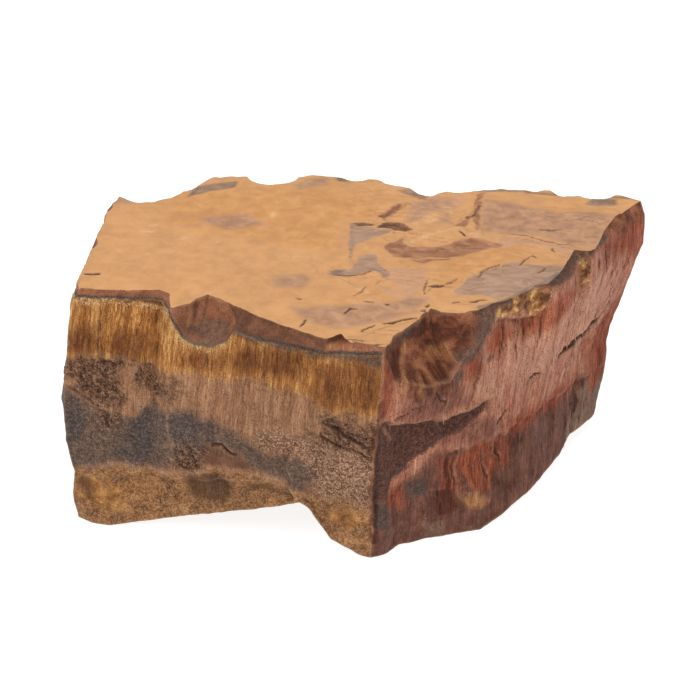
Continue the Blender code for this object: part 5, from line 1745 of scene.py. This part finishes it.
WALL_FINISH = StoneFinish(
    name="fibrous_stone",
    shades=(0x6E472F, 0x9B6E4E, 0xC09470),
    pattern=Pattern.FIBRES,
    layers=(
        Layer(Stain.REDNESS, (0x7A3C2A, 0xB27258, 0xDEA88A),
              Pattern.FIBRES, Pattern.FIBRES, torn=2.5, soft=0.6),
        Layer(Stain.LOWER, (0x5C3820, 0x966844, 0xC8986A), Pattern.GRAINS, torn=0.8, soft=0.3),
        Layer(Stain.LOWER, (0x5E381C, 0x92623A, 0xBE8C5C), torn=0.8, soft=0.3, strength=0.45),
        Layer(Stain.YELLOW, (0x70441C, 0xA06A32, 0xCC9454), torn=2.5, soft=1.2, strength=0.6),
        Layer(Stain.SPECKLE, (0x5A3B2C, 0x946C54, 0xCEA284),
              Pattern.GRAINS, torn=5.0, soft=2.0, strength=0.85),
        Layer(Stain.BLUE, (0x32241C, 0x5C463A, 0x90725E), Pattern.GRAINS, torn=3.2, soft=1.2, strength=0.9),
        Layer(Stain.BLUE, (0x483C38, 0x604E46, 0x766054), torn=1.6, soft=1.0, strength=0.4),
        Layer(Stain.BLUE_CORE, (0x3A3230, 0x504540, 0x685A54),
              Pattern.GRAINS, torn=4.5, soft=1.2, strength=0.85),
        Layer(Stain.BROWN, (0x482A1E, 0x664030, 0x7E5642), torn=1.4, soft=1.0, strength=0.8),
        Layer(Stain.OLIVE, (0x2A1A0E, 0x4C321E, 0x785234), Pattern.FIBRES, torn=3.0, soft=1.2, strength=0.85),
        Layer(Stain.GOLD, (0x603612, 0xAE7036, 0xECB46E), Pattern.FIBRES, Pattern.FIBRES, torn=4.5, soft=1.2),
        Layer(Stain.RUST, (0x48230C, 0x76421C, 0xA86C3A),
              Pattern.FIBRES, Pattern.FIBRES, torn=3.5, soft=1.6, strength=0.85),
        Layer(Stain.GRIT, (0x2C1C14, 0x5C3E2E, 0x9C7256), Pattern.GRAINS, torn=6.5, soft=1.8, strength=0.88),
        Layer(Stain.DUSK, (0x3A1E16, 0x663C2E, 0x94624E),
              Pattern.FIBRES, Pattern.FIBRES, torn=2.5, soft=1.2, strength=0.8),
        Layer(Stain.DUSK, (0x3C221C, 0x5C372E, 0x7C5244), torn=3.0, soft=1.2, strength=0.5),
        Layer(Stain.ROSE, (0x925C46, 0xC89278, 0xD6A288), Pattern.FIBRES, torn=3.0, soft=3.0, strength=0.7),
        Layer(Stain.MAUVE, (0x4C261E, 0x7E4C3E, 0xA66E5C),
              Pattern.FIBRES, Pattern.FIBRES, torn=3.0, soft=1.4, strength=0.8),
        Layer(Stain.TAUPE, (0x685244, 0x8C6E5A, 0xA6866E), Pattern.FIBRES, torn=2.5, soft=1.5, strength=0.8),
        Layer(Stain.RED, (0x5C2212, 0x944428, 0xC27452),
              Pattern.FIBRES, Pattern.FIBRES, torn=3.5, soft=1.6, strength=0.88),
        Layer(Stain.FLAME, (0x4E1C10, 0x8C4226, 0xBE6E46),
              Pattern.FIBRES, Pattern.FIBRES, torn=2.4, soft=0.6, strength=0.95),
        Layer(Stain.FACET, (0x301712, 0x4C2A22, 0x6A4438),
              Pattern.GRAINS, Pattern.GRAINS, torn=1.2, soft=0.5, strength=0.94),
        Layer(Stain.SCOOP, (0x562C1C, 0x804930, 0xA2684A),
              Pattern.MOTTLE, Pattern.FIBRES, torn=3.4, soft=1.2),
        Layer(Stain.CREAM, (0x604224, 0xA67A48, 0xDEBE8E),
              Pattern.GRAINS, Pattern.GRAINS, torn=2.8, soft=0.7, strength=0.75),
        Layer(Stain.CRUST, (0x8E583C, 0x9E6648, 0xAE785A), torn=0.15, soft=0.12),
        Layer(Stain.OLD_SCAR, (0x624C40, 0x745848, 0x826452), torn=0.6, soft=0.5, strength=0.75),
        Layer(Stain.SHADE, (0x5E3A28, 0x764A34, 0x885A42), torn=0.4, soft=0.3, strength=0.95),
        Layer(Stain.DARK, (0x321006, 0x502212, 0x703C2A), Pattern.FIBRES, torn=0.7, soft=0.5, strength=0.9),
        Layer(Stain.OCHRE, (0x744020, 0xAC7246, 0xDEA874), Pattern.FIBRES, torn=1.6, soft=0.9, strength=0.8),
        Layer(Stain.RIM, (0x2E2A2C, 0x464040, 0x685C54), Pattern.GRAINS, torn=0.6, soft=0.25, strength=0.85),
        # Gold of the nugget, rising to painted glints of its glassy grains.
        Layer(Stain.NUGGET_AND_GLINTS, (0x62361A, 0xB27844, 0xFFD28A),
              Pattern.MOTTLE, Pattern.GRAINS, torn=2.0, soft=0.5),
        # Pale lines of the stone, and painted highlights and glints.
        Layer(Stain.PALE_AND_HIGHLIGHT, (0xA87658, 0xC69472, 0xE0B694), Pattern.FIBRES, torn=1.8, soft=0.8, strength=0.45),
        Layer(Stain.INK, (0x302A2A, 0x463E3A, 0x62564C),
              Pattern.GRAINS, Pattern.GRAINS, torn=1.4, soft=0.6, strength=0.75),
        Layer(Stain.HAIRLINE, (0x3E1E16, 0x542C22, 0x784636),
              Pattern.GRAINS, Pattern.GRAINS, torn=0.2, soft=0.22, strength=0.7),
        Layer(Stain.CRACK, (0x281610, 0x38221C, 0x54362A),
              Pattern.GRAINS, Pattern.GRAINS, torn=0.3, soft=0.22, strength=0.9),
    ),
    pepper=0.6,
    pale_grains=0.12,
    calm=(Stain.FACET, Stain.LOWER, Stain.BLUE, Stain.CRUST, Stain.SCOOP, Stain.TAUPE, Stain.GRIT),
    coarse=(Stain.GRIT, Stain.SPECKLE),
)

SKIN_FINISH = StoneFinish(
    name="tan_skin",
    shades=(0xD69C66, 0xDEA36B, 0xE4A970),
    pattern=Pattern.MOTTLE,
    layers=(
        Layer(Stain.WARM, (0xD29258, 0xDA9B5E, 0xE2A669), torn=3.5, soft=3.0, strength=0.85),
        Layer(Stain.PINK, (0xC69270, 0xD19E7A, 0xD9A682),
              Pattern.SCRATCHES, torn=1.2, soft=0.8, strength=0.8),
        # Painted sheen: greyish patches where smooth facets reflect the light.
        Layer(Stain.LILAC_SHEEN, (0xA27E68, 0xB48F78, 0xC29C84),
              Pattern.SCRATCHES, torn=1.0, soft=0.35, strength=0.9),
        # Painted sheen: soft greyish patches on facets.
        Layer(Stain.HAZE_SHEEN, (0xAA7E62, 0xBC8E6E, 0xCC9C78), torn=1.8, soft=1.0, strength=0.85),
        Layer(Stain.SLATE, (0x5A504C, 0x7C6B62, 0x9E8474), torn=0.8, soft=0.5, strength=0.75),
        # Painted shade in the scooped hollows and on the steep ledge faces.
        Layer(Stain.LENS_SHADE, (0x945E42, 0xAC7656, 0xBE8A66),
              Pattern.SCRATCHES, torn=0.7, soft=0.35, strength=0.9),
        # Painted shadow under the overhanging steps of the top.
        Layer(Stain.OVERHANG_SHADOW, (0x543020, 0x6C422C, 0x8A5C42), torn=0.4, soft=0.25, strength=0.9),
        # Pale flecks, and painted highlights along lit edges of steps.
        Layer(Stain.FLECK_AND_LIT_EDGE, (0xDEA87A, 0xE6B486, 0xEEC296), torn=0.8, soft=0.4, strength=0.55),
        Layer(Stain.HAIRLINE, (0x6E442E, 0x86563C, 0xA06E50), torn=0.2, soft=0.2, strength=0.75),
        Layer(Stain.CRACK, (0x3C2218, 0x503224, 0x704C3A), torn=0.2, soft=0.2, strength=0.9),
    ),
    broad_tint=0.035,
    roughness=(0.5, 0.66),
    specular=0.3,
    fibre_height=0.0,
    grain_height=0.02,
    grain_scale=1.2,
)

UNDERSIDE_FINISH = StoneFinish(
    name="ground_side_stone",
    shades=(0x584030, 0x7E5F47, 0xA48062),
    pattern=Pattern.GRAINS,
    layers=(),
    broad_tint=0.2,
    pepper=0.3,
    pale_grains=0.25,
    fibre_height=0.03,
    grain_height=0.15,
)


@dataclass(frozen=True)
class Stone:
    """The stone as one piece: its mesh and its finishes."""

    block: StoneBlock = StoneBlock()
    finishes: Mapping[Zone, StoneFinish] = field(default_factory=lambda: {
        Zone.WALL: WALL_FINISH,
        Zone.SKIN: SKIN_FINISH,
        Zone.UNDERSIDE: UNDERSIDE_FINISH,
    })
    crease_scale: float = 0.16

    def build(self, effects: SharedEffects) -> bpy.types.Object:
        """Makes the piece.

        Args:
            effects: The shared node groups.

        Returns:
            The stone's object.
        """
        surface = self.block.surface()
        mesh = bpy.data.meshes.new(PIECE)
        mesh.from_pydata((surface.points * MM).tolist(), [], surface.faces)
        for zone in Zone:
            mesh.materials.append(self.finishes[zone].material(effects))
        mesh.polygons.foreach_set("material_index", surface.zones.astype(np.int32))
        grain = np.column_stack([surface.grain, np.zeros(len(surface.grain))]).astype(np.float32)
        mesh.attributes.new(GRAIN, "FLOAT_VECTOR", "CORNER").data.foreach_set("vector", grain.ravel())
        for name, values in surface.depths.items():
            self.store(mesh, name, values)
        bend = self.bend(mesh, surface.points)
        # Masks for the painted shade in hollows and the painted highlight on ridges, which the finishes lay
        # into the colour.
        self.store(mesh, PAINTED_HOLLOW_SHADE, np.clip(-bend / self.crease_scale, 0, 1))
        self.store(mesh, PAINTED_RIDGE_HIGHLIGHT, np.clip(bend / self.crease_scale, 0, 1))
        mesh.shade_smooth()
        stone = bpy.data.objects.new(PIECE, mesh)
        bpy.context.collection.objects.link(stone)
        return stone

    @staticmethod
    def store(mesh: bpy.types.Mesh, name: str, values: Array) -> None:
        """Keeps one value a point in the mesh, for the materials to read."""
        mesh.attributes.new(name, "FLOAT", "POINT").data.foreach_set("value", values.astype(np.float32))

    @staticmethod
    def bend(mesh: bpy.types.Mesh, points: Array) -> Array:
        """How far each point stands out of the mean of its neighbours; negative in a hollow."""
        ends = np.empty(len(mesh.edges) * 2, np.int32)
        mesh.edges.foreach_get("vertices", ends)
        ends = ends.reshape(-1, 2)
        total = np.zeros_like(points)
        count = np.zeros(len(points))
        for a, b in (ends.T, ends.T[::-1]):
            np.add.at(total, a, points[b])
            np.add.at(count, a, 1)
        normals = np.empty(len(points) * 3, np.float32)
        mesh.vertices.foreach_get("normal", normals)
        return np.einsum("ij,ij->i", points - total / count[:, None], normals.reshape(-1, 3))


@dataclass(frozen=True)
class Scatter:
    """Small bits of stone strewn over the places where one stain shows.

    A bit is a ball with few sides, scaled at random between the two sizes and turned at random, with
    its last axis leaning by no more than the tilt, in radians.
    """

    name: str
    stain: Stain
    per_square_mm: float
    smallest: Triple
    largest: Triple
    tilt: float
    sides: int
    rings: int
    least_depth: float = 0.3
    edge_room: float = 2.0
    seed: int = 7

    BALL_RADIUS = 0.5
    INPUTS = {
        "Geometry": "Geometry", "Density": "Float", "Least Depth": "Float", "Edge Room": "Float",
        "Smallest": "Vector", "Largest": "Vector", "Radius": "Float", "Tilt": "Float", "Material": "Material",
    }

    def build(self, stone: bpy.types.Object) -> bpy.types.Object:
        """Strews the bits.

        Args:
            stone: The stone that carries them, with its attributes.

        Returns:
            The bits as one plain mesh object.
        """
        modifier = stone.modifiers.new(self.name, "NODES")
        modifier.node_group = self.tree()
        sockets = {item.name: item.identifier for item in modifier.node_group.interface.items_tree
                   if item.in_out == "INPUT"}
        modifier[sockets["Density"]] = self.per_square_mm / MM ** 2
        modifier[sockets["Least Depth"]] = self.least_depth
        modifier[sockets["Edge Room"]] = self.edge_room
        modifier[sockets["Smallest"]][:] = self.smallest
        modifier[sockets["Largest"]][:] = self.largest
        modifier[sockets["Radius"]] = self.BALL_RADIUS * MM
        modifier[sockets["Tilt"]] = self.tilt
        modifier[sockets["Material"]] = stone.data.materials[Zone.WALL.value]
        ready = stone.evaluated_get(bpy.context.evaluated_depsgraph_get())
        mesh = bpy.data.meshes.new_from_object(ready)
        mesh.name = self.name
        stone.modifiers.remove(modifier)
        bits = bpy.data.objects.new(self.name, mesh)
        bpy.context.collection.objects.link(bits)
        return bits

    def tree(self) -> NodeTree:
        """Builds the Geometry Nodes tree."""
        tree = bpy.data.node_groups.new(self.name, "GeometryNodeTree")
        sheet = NodeSheet(tree)
        for name, kind in self.INPUTS.items():
            tree.interface.new_socket(name, in_out="INPUT", socket_type="NodeSocket" + kind)
        tree.interface.new_socket("Geometry", in_out="OUTPUT", socket_type="NodeSocketGeometry")
        given = tree.nodes.new("NodeGroupInput").outputs
        shown = self.exceeds(sheet, self.stain.value, given["Least Depth"])
        inside = self.exceeds(sheet, EDGE_ROOM, given["Edge Room"])
        both = sheet.node("FunctionNodeBooleanMath", {0: shown, 1: inside}, operation="AND").outputs[0]
        spots = sheet.node("GeometryNodeDistributePointsOnFaces", {
            "Mesh": given["Geometry"], "Selection": both, "Density": given["Density"], "Seed": self.seed})
        turn = sheet.node("ShaderNodeCombineXYZ", {0: given["Tilt"], 1: given["Tilt"], 2: math.pi}).outputs[0]
        back = sheet.stretch(turn, (-1, -1, -1))
        lean = self.random_vector(sheet, back, turn, self.seed + 1)
        scale = self.random_vector(sheet, given["Smallest"], given["Largest"], self.seed + 2)
        bit = sheet.node("GeometryNodeMeshUVSphere", {
            "Segments": self.sides, "Rings": self.rings, "Radius": given["Radius"]}).outputs["Mesh"]
        strewn = sheet.node("GeometryNodeInstanceOnPoints", {
            "Points": spots.outputs["Points"], "Instance": bit, "Rotation": lean, "Scale": scale})
        plain = sheet.node("GeometryNodeRealizeInstances", {0: strewn.outputs["Instances"]})
        inputs = {"Geometry": plain.outputs[0], "Material": given["Material"]}
        dressed = sheet.node("GeometryNodeSetMaterial", inputs)
        tree.links.new(dressed.outputs[0], tree.nodes.new("NodeGroupOutput").inputs[0])
        return tree

    @staticmethod
    def exceeds(sheet: NodeSheet, name: str, least: Socket) -> Socket:
        """Whether a value that the mesh holds at each point is above another."""
        value = sheet.node("GeometryNodeInputNamedAttribute", {0: name}, data_type="FLOAT").outputs[0]
        return sheet.node("FunctionNodeCompare", {0: value, 1: least}, data_type="FLOAT",
                          operation="GREATER_THAN").outputs[0]

    @staticmethod
    def random_vector(sheet: NodeSheet, low: Any, high: Any, seed: int) -> Socket:
        """A random vector for each point, between two others."""
        inputs = {"Min": low, "Max": high, "Seed": seed}
        return sheet.node("FunctionNodeRandomValue", inputs, data_type="FLOAT_VECTOR").outputs[0]


SCATTERS = (
    Scatter("gold_splinters", Stain.GOLD, 0.5, (0.2, 0.2, 1.2), (0.45, 0.4, 3.8),
            tilt=0.06, sides=4, rings=2),
    Scatter("red_splinters", Stain.REDNESS, 0.12, (0.2, 0.2, 1.5), (0.5, 0.4, 4.5),
            tilt=0.06, sides=4, rings=2),
    Scatter("dark_grit", Stain.GRIT, 1.3, (0.4, 0.4, 0.3), (1.0, 0.9, 0.7), tilt=3.0, sides=5, rings=3,
            edge_room=0.8),
    Scatter("pale_grit", Stain.SPECKLE, 0.7, (0.3, 0.3, 0.2), (0.7, 0.6, 0.5), tilt=3.0, sides=5, rings=3,
            edge_room=0.8),
)


@dataclass(frozen=True)
class Studio:
    """A plain pale floor, soft lights and the camera, all in metres."""

    floor_size: float = 6.0
    floor_drop: float = 0.0002
    floor_shade: float = 0.4
    floor_glow: float = 0.85
    floor_roughness: float = 0.9
    floor_specular: float = 0.1
    light_size: float = 0.6
    key_place: Triple = (-0.5, -0.7, 0.9)
    key_power: float = 5.2
    top_place: Triple = (0.3, 0.3, 1.1)
    top_power: float = 3.2
    lit_point: Triple = (0.0, 0.0, 0.025)
    camera_place: Triple = (-0.003, -0.31427, 0.18744)
    camera_pitch: float = 27.0
    camera_near: float = 0.01
    lens: float = 90.0
    ambient: float = 0.5

    WHITE = (1, 1, 1, 1)

    def build(self) -> None:
        """Makes the floor, the lights, the world and the camera."""
        self.floor()
        self.light("key_softbox", self.key_place, self.key_power)
        self.light("top_softbox", self.top_place, self.top_power)
        self.world()
        self.camera()

    def floor(self) -> None:
        """A pale floor just under the stone."""
        bpy.ops.mesh.primitive_plane_add(size=self.floor_size, location=(0, 0, -self.floor_drop))
        floor = bpy.context.object
        floor.name = "studio_floor"
        material = bpy.data.materials.new("pale_floor")
        material.use_nodes = True
        shader = material.node_tree.nodes["Principled BSDF"]
        shader.inputs["Base Color"].default_value = (self.floor_shade,) * 3 + (1,)
        shader.inputs["Roughness"].default_value = self.floor_roughness
        shader.inputs["Specular IOR Level"].default_value = self.floor_specular
        shader.inputs["Emission Color"].default_value = self.WHITE
        shader.inputs["Emission Strength"].default_value = self.floor_glow
        floor.data.materials.append(material)

    def light(self, name: str, place: Triple, power: float) -> None:
        """A square softbox that faces the stone."""
        data = bpy.data.lights.new(name, "AREA")
        data.size = self.light_size
        data.energy = power
        lamp = bpy.data.objects.new(name, data)
        lamp.location = place
        lamp.rotation_euler = (Vector(self.lit_point) - Vector(place)).to_track_quat("-Z", "Y").to_euler()
        bpy.context.collection.objects.link(lamp)

    def world(self) -> None:
        """An even pale surround."""
        world = bpy.data.worlds.new("studio_air")
        world.use_nodes = True
        inputs = world.node_tree.nodes["Background"].inputs
        inputs["Color"].default_value = self.WHITE
        inputs["Strength"].default_value = self.ambient
        bpy.context.scene.world = world

    def camera(self) -> None:
        """The camera, level across and pitched down."""
        data = bpy.data.cameras.new("camera")
        data.lens = self.lens
        data.clip_start = self.camera_near
        camera = bpy.data.objects.new("camera", data)
        camera.location = self.camera_place
        camera.rotation_euler = (math.radians(90 - self.camera_pitch), 0, 0)
        bpy.context.collection.objects.link(camera)
        bpy.context.scene.camera = camera
        bpy.context.scene.view_settings.view_transform = "Standard"


def main() -> None:
    """Builds the studio and the stone, and ties the stone to the frame."""
    logging.basicConfig(level=logging.INFO, format="%(name)s: %(message)s")
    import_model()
    Studio().build()
    stone = Stone().build(SharedEffects())
    bits = [scatter.build(stone) for scatter in SCATTERS]
    for piece in (stone, *bits):
        log.info("%s: %d faces", piece.name, len(piece.data.polygons))
        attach(piece, BODY)
    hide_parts(NODE)


if __name__ == "__main__":
    main()
